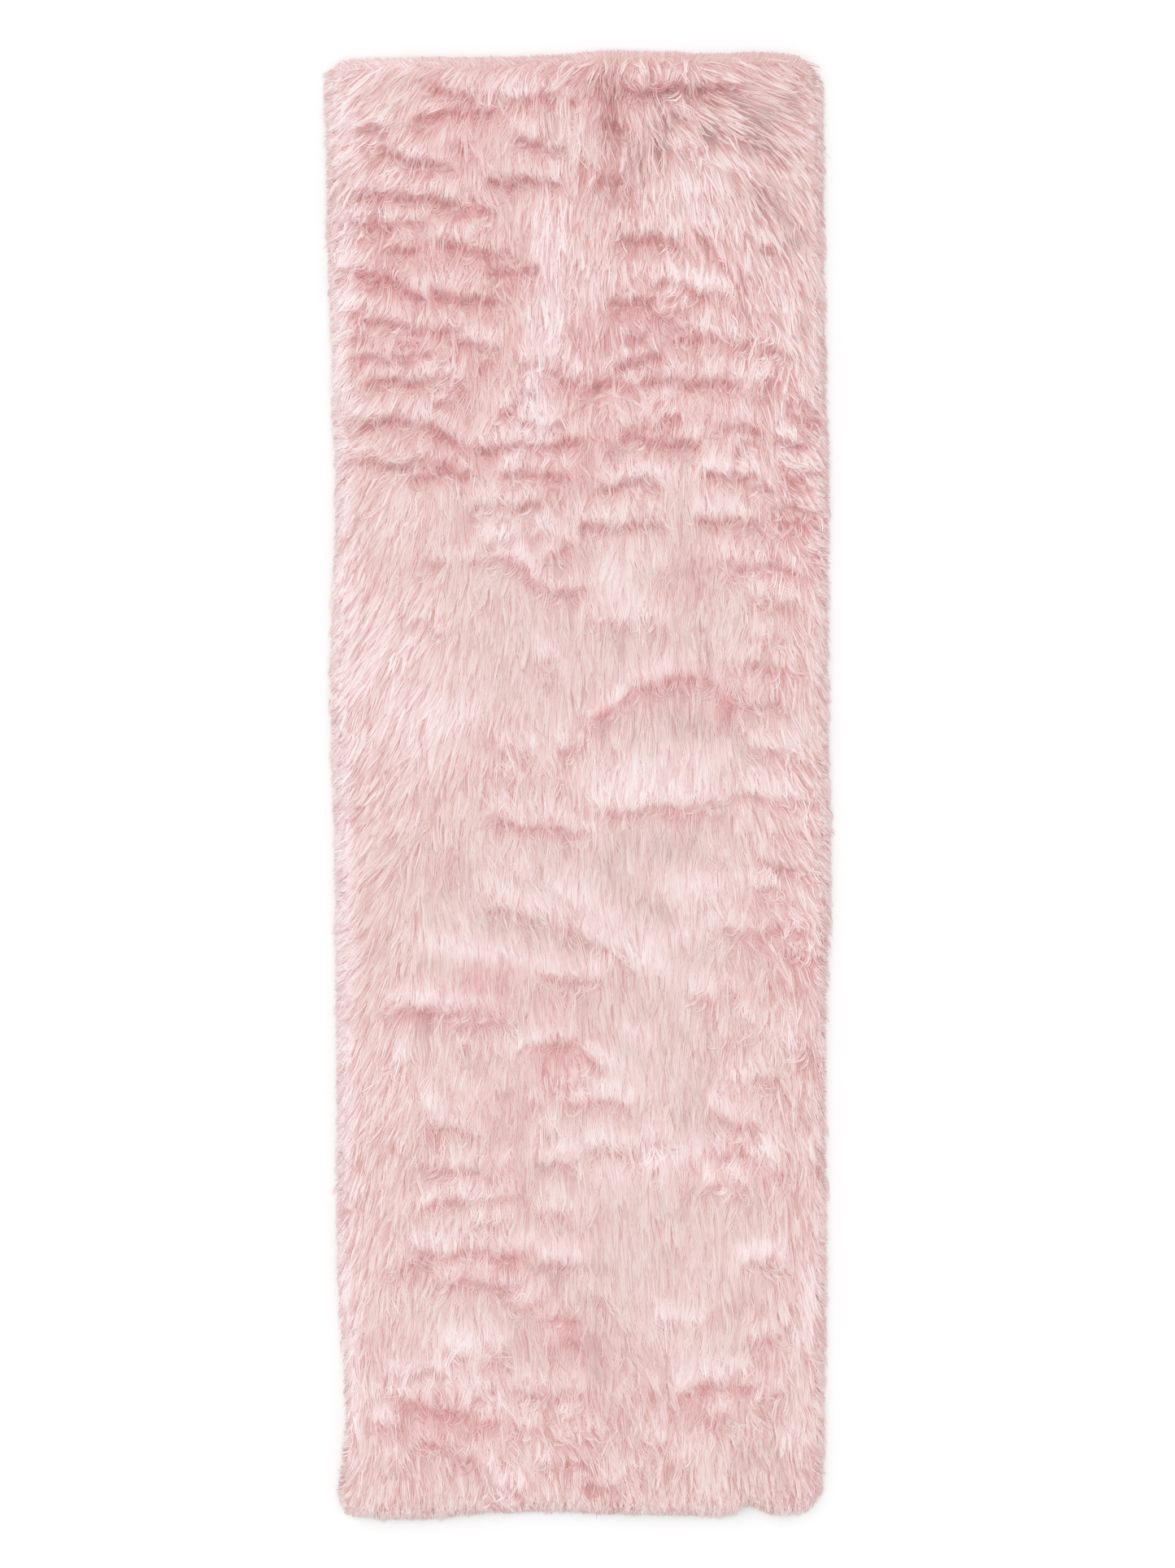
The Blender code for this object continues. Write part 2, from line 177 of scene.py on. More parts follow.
# the pile, in mm and degrees; a spread is what one step of a strand's mood adds
pile = {
    "pitch": 2.78, "rootInset": 8,  # between roots, and from the outline to the outermost
    "length": 45, "lengthSpread": 0.14, "shortest": 7, "standing": 0.55,  # hair that stands covers this share
    "width": 1.6, "widthSpread": 0.35, "thin": 0.6,
    "taperAt": (0, 0.3, 0.6, 1), "taper": (0.8, 1.0, 0.85, 0.0),
    "segments": 5, "fewSegments": (0, 2, 4, 5),  # straighter strands keep these points only
    "curlyShare": 0.3, "curlyBands": 3, "curlyWidth": 0.85, "combedBands": 3, "combedWidth": 1.0,
    "overhang": 1.5, "overhangSpread": 4.5, "overhangEnds": (-6, 14),  # of tufts past a crease
    "stopLeast": 8, "edgeReach": 1.0, "edgeReachSpread": 2.5, "edgeSlack": 1.5, "edgeSlackSpread": 2,
    "leastOutward": 0.1, "edgePull": 0.9,
    "bigClump": 26, "smallClump": 8.5, "keptApart": 0.3, "pullPower": 1.1,
    "bigMood": 0.6, "smallMood": 0.7, "ownMood": 0.22, "strayMood": 1.1,
    "bigPull": 0.22, "smallPull": 0.75,
    "calmMess": 0.12, "gritSlope": 1.7,
    "swing": 5, "messySwing": 18, "puffSwing": 16, "puffRun": 30, "standSwing": 70,  # tufts turn aside
    "lookAhead": 0.7, "curl": 7, "messyCurl": 28, "curlPower": 1.2,
    "wave": 8, "messyWave": 24, "waveTurns": 1.1, "wavePhase": 0.35,
    "hookRun": 24, "hookFade": 14, "hookTurn": 2.0,  # rooted this near a crease, it curls over it; radians
    "hookLength": 27, "hookSpread": 0.2, "hookEnds": (0.6, 1.5), "hookSide": 2.5,
    "bury": 0.4, "lift": 0.4, "liftSpread": 0.6, "liftMood": 0.5, "liftLeast": 0.3,  # from the surface
    "puffLift": 1.6, "standLift": 6, "lowest": 0.8, "stripLowest": 0.6,
    "steepest": 0.6, "steeper": 0.8,  # slope at which hair comes down over a crease, more at its tip
    "hangFrom": 4, "hangRun": 14, "hangLow": 2, "hangHigh": 7,  # how it comes down at the rug's sides
    "strayShare": 0.07, "strayLift": 0.5, "darkShare": 0.12,  # stray and dark strands are thin
    "lockLift": 1.2, "lockHalf": 0.55,  # of a lock's middle over its sides; its half width in clumps
    "tilt": 12, "toneTilt": 5, "twist": 5,  # of a strip about its own length
    "upright": 0.15,  # where a strip is less flat than this, it faces as its tip does
    "roundness": 16, "upward": 2.6,  # how the normals fan across a strand and lean to straight up
}

# rows of the mood table, which holds every strand's own chances
moodCount = 9
inHeading, inCurl, inWave, inPhase, inLift, inTone, inReach, inLength, inGrit = range(moodCount)

# painted highlights, where the combed hair is palest: x, y, half width, half length, tilt, strength
glints = [
    (-35, 690, 22, 70, 0, 0.7), (-40, 560, 28, 70, 0, 0.7), (0, 630, 26, 36, 0, 0.5),
    (130, 742, 60, 30, -10, 0.5), (92, 24, 84, 15, 4, 0.5), (84, 0, 80, 15, 3, 0.55),
    (-160, -200, 46, 11, -6, 0.8), (-85, -214, 34, 8, -16, 0.7), (20, -150, 50, 10, -35, 0.5),
    (-165, -690, 40, 10, -4, 0.6), (-160, -745, 50, 10, -6, 0.5), (-110, -770, 40, 9, -4, 0.4),
    (225, -580, 40, 24, 20, 0.2), (285, -640, 16, 40, 0, 0.5), (-170, 80, 60, 30, 20, 0.5),
    (-60, 455, 24, 40, 0, 0.6), (250, -2, 40, 12, -10, 0.7), (65, -215, 40, 10, 4, 0.6),
    (-290, 700, 12, 190, 0, 0.5), (-298, 130, 16, 190, 0, 0.6), (-160, -352, 70, 30, 0, 0.1),
    (100, 480, 70, 8, 0, 0.3), (200, -365, 24, 12, 30, 0.5), (235, -455, 16, 26, 0, 0.5),
    (120, -460, 40, 16, 0, 0.6), (-60, -325, 50, 9, 10, 0.6), (120, 395, 60, 7, 0, 0.4),
    (-200, -395, 60, 9, 0, 0.4), (230, 640, 60, 6, -10, 0.5), (170, 700, 80, 6, -8, 0.5),
    (215, 765, 80, 6, -14, 0.6), (140, 835, 60, 6, -6, 0.5), (255, 590, 50, 6, -8, 0.5),
    (-50, -150, 60, 8, -24, 0.5), (-235, 130, 60, 90, 0, 0.45), (40, 250, 26, 40, 0, 0.4),
    (160, -120, 60, 14, 6, 0.5), (60, -480, 50, 12, 0, 0.4), (210, -30, 40, 10, -8, 0.4),
    (-250, -560, 16, 60, 0, 0.3), (120, -700, 40, 60, 0, 0.2), (-230, 330, 40, 40, 0, 0.3),
    (100, 380, 60, 10, 0, 0.3),
    (-76, -105, 18, 7, -15, 0.6), (-12, -138, 30, 6, -35, 0.7), (-128, -210, 50, 6, -18, 0.5),
    (108, -193, 42, 6, 12, 0.7), (94, -222, 24, 6, -25, 0.8), (145, -142, 30, 12, 0, 0.35),
    (71, -307, 22, 8, -20, 0.7), (57, -349, 26, 6, -30, 0.45), (-140, -376, 22, 7, -15, 0.5),
]
# painted pinker shade, mostly by the creases, where the pile is a deeper pink: x, y, half width, half length,
# strength
blushes = [
    (-200, 660, 90, 140, 0.15), (-160, 800, 80, 40, 0.2), (110, 620, 60, 60, 0.2),
    (-120, 400, 120, 40, 0.2), (250, 270, 60, 60, 0.2), (200, 120, 70, 40, 0.3), (60, 100, 60, 20, 0.3),
    (95, -45, 80, 14, 0.4), (-60, -60, 60, 16, 0.35), (260, -160, 50, 60, 0.15),
    (-170, -280, 80, 26, 0.35), (-30, -340, 40, 50, 0.35), (230, -200, 80, 16, 0.12),
    (190, -470, 60, 24, 0.35), (-130, -600, 90, 30, 0.3), (-20, -680, 50, 40, 0.3),
    (-180, -790, 80, 40, 0.4), (150, -770, 60, 30, 0.3), (-130, -245, 80, 36, 0.25),
    (0, -370, 40, 50, 0.35), (-100, 200, 60, 60, -0.12), (140, -215, 50, 30, -0.15),
    (110, 132, 60, 16, 0.5), (30, 85, 24, 34, 0.5), (190, 92, 22, 34, 0.35), (-60, 850, 80, 10, 0.2),
    (80, 550, 50, 40, 0.2), (130, 490, 80, 20, 0.2), (220, 600, 30, 20, 0.15), (200, 385, 60, 16, 0.2),
    (-75, 270, 60, 40, 0.25), (-20, 260, 30, 40, 0.2), (60, -120, 200, 60, -0.1),
    (-60, -480, 200, 60, 0.05),
]

# painted shade, where the pile is darker and greyer: x, y, half width, half length, tilt, strength
shades = [
    (100, 68, 76, 22, 2, 0.2), (95, -80, 80, 16, 3, 0.27), (150, 812, 66, 50, -8, 0.4),
    (195, 790, 140, 110, -8, 0.3), (245, 835, 60, 52, -10, 0.4), (250, 705, 60, 60, 0, 0.42),
    (88, 790, 34, 70, 0, 0.53), (40, 822, 20, 84, 0, 0.48), (250, -842, 60, 48, 0, 0.27),
    (225, 797, 85, 14, -17, 0.2),
    (278, 884, 44, 18, -10, 0.17), (205, 742, 70, 10, -12, 0.15), (120, 770, 40, 10, -8, 0.12),
    (-78, 668, 10, 22, 30, 0.21), (80, 410, 80, 12, 0, 0.19), (140, -160, 60, 8, 6, 0.16),
    (20, -205, 44, 7, -20, 0.21), (-60, -182, 60, 7, -12, 0.21), (30, -640, 6, 60, 0, 0.12),
    (20, -800, 16, 80, 0, 0.16), (-250, 680, 30, 40, 20, 0.11), (290, 560, 16, 90, 0, 0.21),
    (125, -418, 28, 14, 0, 0.19), (-70, -120, 50, 7, -20, 0.13), (-20, -90, 60, 6, -14, 0.16),
    (-150, 232, 50, 8, 0, 0.13), (240, 60, 50, 7, -10, 0.16), (190, -660, 60, 6, -12, 0.13),
    (60, -705, 60, 6, -12, 0.13), (230, -560, 50, 6, 10, 0.13), (-240, -610, 40, 8, -14, 0.13),
    (-200, 860, 60, 8, 4, 0.16),
]

# partings down the rug: x and y of one end and of the other, half width, depth
partings = [
    (40, 872, 46, 735, 18, 0.8), (26, -540, 26, -715, 8, 0.2), (-100, 612, -88, 545, 14, 0.1),
    (-70, 690, -58, 640, 10, 0.15),
]

# where the hair gathers in clear locks: x, y, half width, half length, strength
locky = [
    (180, 720, 150, 160, 0.9), (-20, 640, 60, 190, 0.6), (-240, 120, 110, 200, 0.5),
    (-250, -450, 80, 220, 0.5), (0, -820, 220, 70, 0.4), (270, 420, 50, 160, 0.6),
    (-60, 20, 150, 60, 0.3), (290, -100, 50, 300, 0.6), (-290, 780, 60, 120, 0.9),
]
locks = {"least": 0.2, "atEdge": 0.5, "edgeRun": 70}  # strength everywhere, and more by the outline

# the surface that the hair lies on, mm
surface = {
    "halfWidth": 340, "halfLength": 945, "cell": 2.5,  # of the grids
    "low": 9.5, "high": 21.0, "rise": 18,  # it climbs back over this run below a crease
    "lip": 4.8, "lipRun": 14, "partedDepth": 9, "grit": 0.25, "smoothings": 2,
    "lump": 1.8, "lumpPitch": 60, "lumpSizes": (1, 2, 4), "lumpWidth": 700, "lumpLength": 1900,
    "rimHeight": 21, "rimRun": 40, "rimOver": 3, "rimLeast": 1, "rimFollow": 0.25, "rimLevel": 20,
    "calmBelow": 250, "calmRun": 150, "calmShare": 0.52,  # from here down the creases are shallower
}

# how hair meets a crease: the mm round it that are searched, the slowest crossing, how its hold fades at
# its ends and with grit, and the least hold that counts
meeting = {
    "below": 60, "above": 70, "aside": 55, "widen": 1.2, "slowest": 0.2,
    "ends": 1.18, "underEnds": 1.1, "endFade": 0.4, "grit": 0.5, "holdFade": 0.3, "least": 0.3,
}
creaseWaves = [(2.6, 11, 1.7), (1.6, 4.7, 2.9)]  # mm high, mm long, and turned from crease to crease

# the roll along the top edge, mm; it is deepest right of the middle
roll = {
    "depth": 13, "extra": 33, "left": -50, "right": 205, "fade": 50, "soft": 4,
    "middle": 80, "leanFrom": 40, "leanRun": 90, "lean": 2.4, "down": 0.6,
    "trough": 0.3, "troughHalf": 7, "troughLeft": -60, "troughRight": 200, "troughFade": 40,
}
rollWaves = [(3, 17), (2, 7.3)]  # mm high and mm long

# the sides' hair is combed outwards and the ends' isn't; leastLaid is for hair that stands up
comb = {"outward": 0.4, "outwardRun": 30, "endFacing": 0.5, "leastLaid": 0.15}

# how pale with painted highlight, how pink, and how grey with painted shade the surface is
looks = {
    "lipShine": 0.5, "lipShineSwing": 0.3, "lipShineAt": 17, "lipShineHalf": 12, "shineGrid": (9, 25),
    "shadeSwing": 0.3, "shadeGrid": (24, 70), "creaseHalf": 6.5,
    "lipBlush": 0.3, "lipBlushRun": 5, "partedBlush": 0.05, "messyBlush": 0.3, "messyFrom": 0.3,
    "topBlush": 0.12, "topFrom": 300, "topRun": 300, "blushSwing": 0.12, "blushGrid": (14, 40),
    "edgeRun": 32, "edgeShine": 0.3, "edgeBlush": 0.6, "partedShine": 0.8,
    "leftShine": 1.2, "leftFrom": -200, "leftFade": 20, "leftEnd": -860, "leftEndFade": 120,
}


def lockStrength(x, y):
    away, _, _ = fromEdge(x, y)
    strength = locks["least"] + locks["atEdge"] * np.exp(-(away / locks["edgeRun"]) ** 2)
    for *place, share in locky:
        strength += share * spot(x, y, *place)
    return strength.clip(0, 1)


def allFolds(rng):
    # the creases listed, then the short ones of each patch of tufts
    rows = list(folds)
    for x, y, halfWidth, halfLength, count, depth in tufts:
        for _ in range(count):
            rows.append((
                x + halfWidth * rng.uniform(-1, 1), y + halfLength * rng.uniform(-1, 1),
                rng.uniform(*tuftCrease["half"]), rng.normal(0, tuftCrease["tiltSpread"]),
                rng.uniform(*tuftCrease["bow"]), depth * rng.uniform(*tuftCrease["depth"]),
            ))
    return np.array(rows)


def combFlow(x, y):
    # the way the pile lies, and how far it is laid over: near 0 it stands up
    vx, vy = np.zeros_like(x), -np.ones_like(x)
    for *place, heading, weight in combing:
        pull = weight * spot(x, y, *place)
        vx += pull * math.cos(math.radians(heading))
        vy += pull * math.sin(math.radians(heading))
    size = np.maximum(np.hypot(vx, vy), tiny)
    vx, vy = vx / size, vy / size
    away, nx, ny = fromEdge(x, y)
    out = comb["outward"] * smooth(1 - away / comb["outwardRun"]) * (ny < comb["endFacing"])
    vx, vy = vx * (1 - out) + nx * out, vy * (1 - out) + ny * out
    # in the roll along the top edge it leans away to both sides
    over = smooth((aboveRollFoot(x, y) + roll["soft"]) / (2 * roll["soft"]))
    aside = x - roll["middle"]
    lean = np.sign(aside) * smooth((np.abs(aside) - roll["leanFrom"]) / roll["leanRun"]) * roll["lean"]
    vx = vx * (1 - over) + over * lean
    vy = vy * (1 - over) - roll["down"] * over
    return np.arctan2(vy, vx), np.hypot(vx, vy).clip(comb["leastLaid"], 1)


def aboveRollFoot(x, y):
    # how far a point is above the wavy line where the roll along the top edge ends
    extra = roll["extra"] * smooth((x - roll["left"]) / roll["fade"])
    extra = extra * smooth((roll["right"] - x) / roll["fade"])
    above = y - (readTable(ends, topEdge, x) - (roll["depth"] + extra))
    for high, long in rollWaves:
        above = above + high * np.sin(x / long)
    return above


def messiness(x, y):
    # from the patches of tufts, but not the last, which spans the whole rug
    messy = np.full_like(x, pile["calmMess"])
    for *place, _, depth in tufts[:-1]:
        messy += depth * spot(x, y, *place)
    return messy.clip(0, 1)


def waviness(along, index):
    return sum(high * np.sin(along / long + index * turn) for high, long, turn in creaseWaves)


def creaseAhead(x, y, heading, rows, grit):
    # how far along its heading each strand meets a crease, how firmly it stops there, and how far
    # back the crease is that it starts under
    cx, cy = np.cos(heading), np.sin(heading)
    reach, firm, below = np.full(len(x), farOff), np.zeros(len(x)), np.full(len(x), farOff)
    order = np.argsort(y)
    ys = y[order]
    for index, (fx, fy, half, tilt, bow, depth) in enumerate(rows):
        low, high = np.searchsorted(ys, (fy - half - meeting["below"], fy + half + meeting["above"]))
        near = order[low:high]
        near = near[np.abs(x[near] - fx) < half * meeting["widen"] + meeting["aside"]]
        if not len(near):
            continue
        ct, st = math.cos(math.radians(tilt)), math.sin(math.radians(tilt))
        dx, dy = x[near] - fx, y[near] - fy
        u, above = dx * ct + dy * st, dy * ct - dx * st
        above = above - bow * (1 - (u / half) ** 2) + waviness(u, index)
        speed = st * cx[near] - ct * cy[near]
        ahead = above / np.maximum(speed, meeting["slowest"])
        crossing = (u + (cx[near] * ct + cy[near] * st) * ahead) / half
        window = depth * smooth((meeting["ends"] - np.abs(crossing)) / meeting["endFade"])
        hold = smooth((window - meeting["grit"] * grit[near]) / meeting["holdFade"])
        hold = hold * (above > 0) * (speed > meeting["slowest"])
        nearer = (hold > meeting["least"]) & (ahead < reach[near])
        firm[near[nearer]], reach[near[nearer]] = hold[nearer], ahead[nearer]
        windowHere = depth * smooth((meeting["underEnds"] - np.abs(u / half)) / meeting["endFade"])
        under = (above <= 0) & (windowHere > meeting["least"])
        below[near[under]] = np.minimum(below[near[under]], -above[under] / windowHere[under])
    return reach, firm, below


def partedShare(x, y):
    # how deep a point lies in the trough under the roll or in a parting. It lowers the surface there, and
    # paints shade there too
    parted = roll["trough"] * np.exp(-(aboveRollFoot(x, y) / roll["troughHalf"]) ** 2)
    parted = parted * smooth((x - roll["troughLeft"]) / roll["troughFade"])
    parted = parted * smooth((roll["troughRight"] - x) / roll["troughFade"])
    for x0, y0, x1, y1, halfWidth, depth in partings:
        way = (((x - x0) * (x1 - x0) + (y - y0) * (y1 - y0)) / ((x1 - x0) ** 2 + (y1 - y0) ** 2)).clip(0, 1)
        aside = np.hypot(x - x0 - way * (x1 - x0), y - y0 - way * (y1 - y0))
        parted += depth * np.exp(-(aside / halfWidth) ** 2)
    return parted


def surfaceLooks(x, y, met, deep, parted, edge, rng):
    # how pale with painted highlight, how pink, and how grey with painted shade the surface is at each point,
    # and how near under a crease
    reach, firm, below = met
    # painted highlight on the lip just above each crease, then the painted highlights of the glints table
    shine = firm * np.exp(-((reach - looks["lipShineAt"]) / looks["lipShineHalf"]) ** 2)
    shine *= looks["lipShine"] + looks["lipShineSwing"] * gridAt(rng.normal(size=looks["shineGrid"]), x, y)
    shine += patches(glints, x, y)
    uneven = 1 + looks["shadeSwing"] * gridAt(rng.normal(size=looks["shadeGrid"]), x, y)
    shade = patches(shades, x, y) * uneven.clip(0, 2)
    # painted shade just under each crease
    crease = deep * np.exp(-(below / looks["creaseHalf"]) ** 2)
    # blush: painted pinker shade at the tips over a crease and in partings, with more pink in messy pile,
    # towards the top, from the blushes table and at random
    blush = deep * looks["lipBlush"] * firm * smooth((looks["lipBlushRun"] - reach) / looks["lipBlushRun"])
    blush = blush + looks["partedBlush"] * parted
    messy, up = messiness(x, y) - looks["messyFrom"], smooth((y - looks["topFrom"]) / looks["topRun"])
    blush += looks["messyBlush"] * messy + looks["topBlush"] * up
    for *place, strength in blushes:
        blush += strength * spot(x, y, *place)
    blush += looks["blushSwing"] * gridAt(rng.normal(size=looks["blushGrid"]), x, y)
    # painted light: the outline is paler all round and most down the left side, and less pink there
    left = looks["leftShine"] * smooth((looks["leftFrom"] - x) / looks["leftFade"])
    paleEdge = looks["edgeShine"] + left * smooth((y - looks["leftEnd"]) / looks["leftEndFade"])
    shine = (shine + edge * paleEdge) * (1 - looks["partedShine"] * parted.clip(0, 1))
    blush = blush * (1 - looks["edgeBlush"] * edge)
    return {"shine": shine, "blush": blush, "shade": shade, "crease": crease}


def makeSurface(rows, rng):
    # grids over the rug; the heights are terraces that climb below each crease and drop at the next
    wide, long = surface["halfWidth"], surface["halfLength"]
    across, along = int(2 * wide / surface["cell"]), int(2 * long / surface["cell"])
    x, y = np.meshgrid(np.linspace(-wide, wide, across), np.linspace(-long, long, along), indexing="ij")
    x, y = x.ravel(), y.ravel()
    heading, _ = combFlow(x, y)
    met = creaseAhead(x, y, heading, rows, np.full(len(x), surface["grit"]))
    reach, firm, below = met
    up = smooth((y - surface["calmBelow"]) / surface["calmRun"])
    deep = surface["calmShare"] + (1 - surface["calmShare"]) * up
    height = surface["high"] - deep * (surface["high"] - surface["low"]) * np.exp(-below / surface["rise"])
    height += deep * surface["lip"] * firm * np.exp(-reach / surface["lipRun"])
    parted = partedShare(x, y)
    height -= surface["partedDepth"] * parted
    for size in surface["lumpSizes"]:
        pitch = surface["lumpPitch"] / size
        lumps = rng.normal(size=(int(surface["lumpWidth"] / pitch), int(surface["lumpLength"] / pitch)))
        height += surface["lump"] / size * gridAt(lumps, x, y)
    away, _, _ = fromEdge(x, y)
    share = (1 - (away + surface["rimOver"]) / surface["rimRun"]).clip(0, 1)
    follow = 1 - surface["rimFollow"] + surface["rimFollow"] * height / surface["rimLevel"]
    rimTop = surface["rimLeast"] + surface["rimHeight"] * np.sqrt(1 - share ** 2)
    height = np.minimum(height, rimTop * follow)
    edge = smooth(1 - away / looks["edgeRun"])
    made = {"height": height, "parted": parted, "edge": edge}
    made.update(surfaceLooks(x, y, met, deep, parted, edge, rng))
    for name, grid in made.items():
        grid = made[name] = grid.reshape(across, along)
        for _ in range(surface["smoothings"]):
            grid[1:-1] = 0.25 * grid[:-2] + 0.5 * grid[1:-1] + 0.25 * grid[2:]
            grid[:, 1:-1] = 0.25 * grid[:, :-2] + 0.5 * grid[:, 1:-1] + 0.25 * grid[:, 2:]
    return made


def patches(table, x, y):
    # soft-edged patches, each with its tilt and strength, added up
    total = np.zeros_like(x)
    for cx, cy, halfWidth, halfLength, tilt, strength in table:
        ct, st = math.cos(math.radians(tilt)), math.sin(math.radians(tilt))
        u, v = (x - cx) * ct + (y - cy) * st, (y - cy) * ct - (x - cx) * st
        total += strength * np.exp(-(u / halfWidth) ** 4 - (v / halfLength) ** 2)
    return total


def gridAt(grid, x, y):
    # reads a grid that spans the whole rug, smoothly between its points
    wide, long = surface["halfWidth"], surface["halfLength"]
    u = ((np.asarray(x) + wide) / (2 * wide)).clip(0, 0.9999) * (grid.shape[0] - 1)
    v = ((np.asarray(y) + long) / (2 * long)).clip(0, 0.9999) * (grid.shape[1] - 1)
    i, j = u.astype(int), v.astype(int)
    u, v = u - i, v - j
    near = grid[i, j] * (1 - u) + grid[i + 1, j] * u
    far = grid[i, j + 1] * (1 - u) + grid[i + 1, j + 1] * u
    return near * (1 - v) + far * v


def strandPlans(x, y, mood, rows):
    # the way of every strand seen from above, as (strands, points, 2) in mm, how far it is pushed
    # together, how far it is laid over, and how firmly a crease stops it
    count, steps = len(x), pile["segments"]
    heading, laid = combFlow(x, y)
    messy = messiness(x, y)
    grit = 1 / (1 + np.exp(-pile["gritSlope"] * mood[inGrit]))
    reach, firm, _ = creaseAhead(x, y, heading, rows, grit)
    near = firm * np.exp(-reach / pile["puffRun"])
    swing = pile["swing"] + pile["messySwing"] * messy + pile["puffSwing"] * near
    swing = swing + pile["standSwing"] * (1 - laid)
    heading = heading + np.radians(swing * mood[inHeading])
    reach, firm, _ = creaseAhead(x, y, heading, rows, grit)
    length = pile["length"] * (1 + pile["lengthSpread"] * mood[inLength].clip(-2, 2))
    overhang = (pile["overhang"] + pile["overhangSpread"] * mood[inReach]).clip(*pile["overhangEnds"])
    chord = length * laid.clip(pile["standing"], 1)
    stopped = np.minimum(chord, (reach + overhang).clip(pile["stopLeast"], None))
    chord = chord + firm * (stopped - chord)
    hook = firm * smooth((pile["hookRun"] - reach) / pile["hookFade"])
    hooked = hook * pile["hookLength"] * (1 + pile["hookSpread"] * mood[inLength]).clip(*pile["hookEnds"])
    chord = np.maximum(chord, hooked)
    away, nx, ny = fromEdge(x, y)
    outward = np.cos(heading) * nx + np.sin(heading) * ny
    least = pile["leastOutward"]
    toEdge = np.where(outward > least, np.maximum(away, 0) / np.maximum(outward, least), farOff)
    edgeReach = toEdge + pile["edgeReach"] + pile["edgeReachSpread"] * mood[inReach]
    chord = np.minimum(chord, edgeReach).clip(pile["shortest"], None)
    squeeze = (1 - chord / length).clip(0, 1)
    share = (np.arange(steps) + 0.5) / steps
    on = pile["lookAhead"] * chord
    ahead, _ = combFlow(x + on * np.cos(heading), y + on * np.sin(heading))
    bend = ((ahead - heading + math.pi) % (2 * math.pi) - math.pi).clip(-1, 1)
    curl = np.radians((pile["curl"] + pile["messyCurl"] * messy) * mood[inCurl])
    aside = np.sqrt(1 - ((reach + overhang) / chord).clip(0.1, 1))
    curl += pile["hookTurn"] * hook * aside * np.tanh(pile["hookSide"] * mood[inCurl])
    wave = np.radians((pile["wave"] + pile["messyWave"] * messy) * np.abs(mood[inWave]))
    turn = heading[:, None] + bend[:, None] * share + curl[:, None] * share ** pile["curlPower"]
    phase = pile["waveTurns"] * share + pile["wavePhase"] * mood[inPhase][:, None]
    turn += wave[:, None] * np.sin(2 * math.pi * phase)
    step = (chord / steps)[:, None]
    plan = np.zeros((count, steps + 1, 2))
    plan[:, 0] = np.stack([x, y], 1)
    plan[:, 1:, 0] = x[:, None] + np.cumsum(step * np.cos(turn), 1)
    plan[:, 1:, 1] = y[:, None] + np.cumsum(step * np.sin(turn), 1)
    return plan, squeeze, laid, firm


def keptInside(plan, mood):
    # strands that reach past the outline lie along it instead
    away, nx, ny = fromEdge(plan[..., 0], plan[..., 1])
    slack = (pile["edgeSlack"] + pile["edgeSlackSpread"] * np.abs(mood[inReach]))[:, None]
    past = (-away - slack).clip(0, None)
    return plan - pile["edgePull"] * past[..., None] * np.stack([nx, ny], 2)


def laidOnSurface(plan, heights, squeeze, laid, mood, liftShare):
    # gives the strands their heights: roots in the surface, tips a little over it, and down past a crease
    share = np.linspace(0, 1, plan.shape[1])[None]
    lift = pile["lift"] + pile["liftSpread"] * liftShare + pile["liftMood"] * mood[inLift]
    lift = lift.clip(pile["liftLeast"], None)[:, None]
    puff = (pile["puffLift"] * squeeze * (1 + pile["liftMood"] * mood[inLift])).clip(0, None)[:, None]
    stand = pile["standLift"] * (1 - laid)[:, None]
    z = gridAt(heights["height"], plan[..., 0], plan[..., 1])
    over = -pile["bury"] + (pile["bury"] + lift) * share ** 0.6 + puff * np.sin(math.pi * share ** 0.8)
    z += over + stand * share
    run = np.hypot(*np.moveaxis(np.diff(plan, axis=1), 2, 0))
    for k in range(1, plan.shape[1]):
        fall = pile["steepest"] * run[:, k - 1] * (1 + pile["steeper"] * share[0, k])
        z[:, k] = np.maximum(z[:, k], z[:, k - 1] - fall)
    away, _, _ = fromEdge(plan[..., 0], plan[..., 1])
    hang = (1 - (away + pile["hangFrom"]) / pile["hangRun"]).clip(0, 1)
    z = z * (1 - hang) + np.minimum(z, pile["hangLow"] + pile["hangHigh"] * (1 - hang)) * hang
    return np.concatenate([plan, z[..., None].clip(pile["lowest"], None)], 2)


def nearestClump(x, y, size, rng):
    # tufts on a jittered grid: the index of each strand's nearest tuft, and the tufts' middles
    low = np.array([x.min(), y.min()]) - size
    across, along = int(np.ptp(x) / size) + 4, int(np.ptp(y) / size) + 4
    jitter = rng.uniform(0.1, 0.9, (across, along, 2))
    centres = (np.indices((across, along)).transpose(1, 2, 0) + jitter) * size + low
    centres = centres.reshape(-1, 2)
    used, index = np.unique(nearestOf(np.stack([x, y], 1), centres), return_inverse=True)
    return index, centres[used]


def nearestOf(points, centres):
    # the index of the nearest centre to each point, by a grid of cells
    size = 1.6 * math.sqrt(np.ptp(centres[:, 0]) * np.ptp(centres[:, 1]) / len(centres))
    low = centres.min(0) - 2 * size
    span = (np.ptp(centres, axis=0) / size + 5).astype(int)
    cell = ((centres - low) / size).astype(int)
    key = cell[:, 0] * span[1] + cell[:, 1]
    order = np.argsort(key, kind="stable")
    starts = np.searchsorted(key[order], np.arange(span[0] * span[1] + 1))
    home = np.clip(((points - low) / size).astype(int), 1, span - 2)
    best, index = np.full(len(points), np.inf), np.zeros(len(points), int)
    for i in (-1, 0, 1):
        for j in (-1, 0, 1):
            here = (home[:, 0] + i) * span[1] + home[:, 1] + j
            first, after = starts[here], starts[here + 1]
            for k in range(int((after - first).max())):
                some = np.flatnonzero(first + k < after)
                candidate = order[first[some] + k]
                d = ((centres[candidate] - points[some]) ** 2).sum(1)
                closer = d < best[some]
                best[some[closer]], index[some[closer]] = d[closer], candidate[closer]
    return index


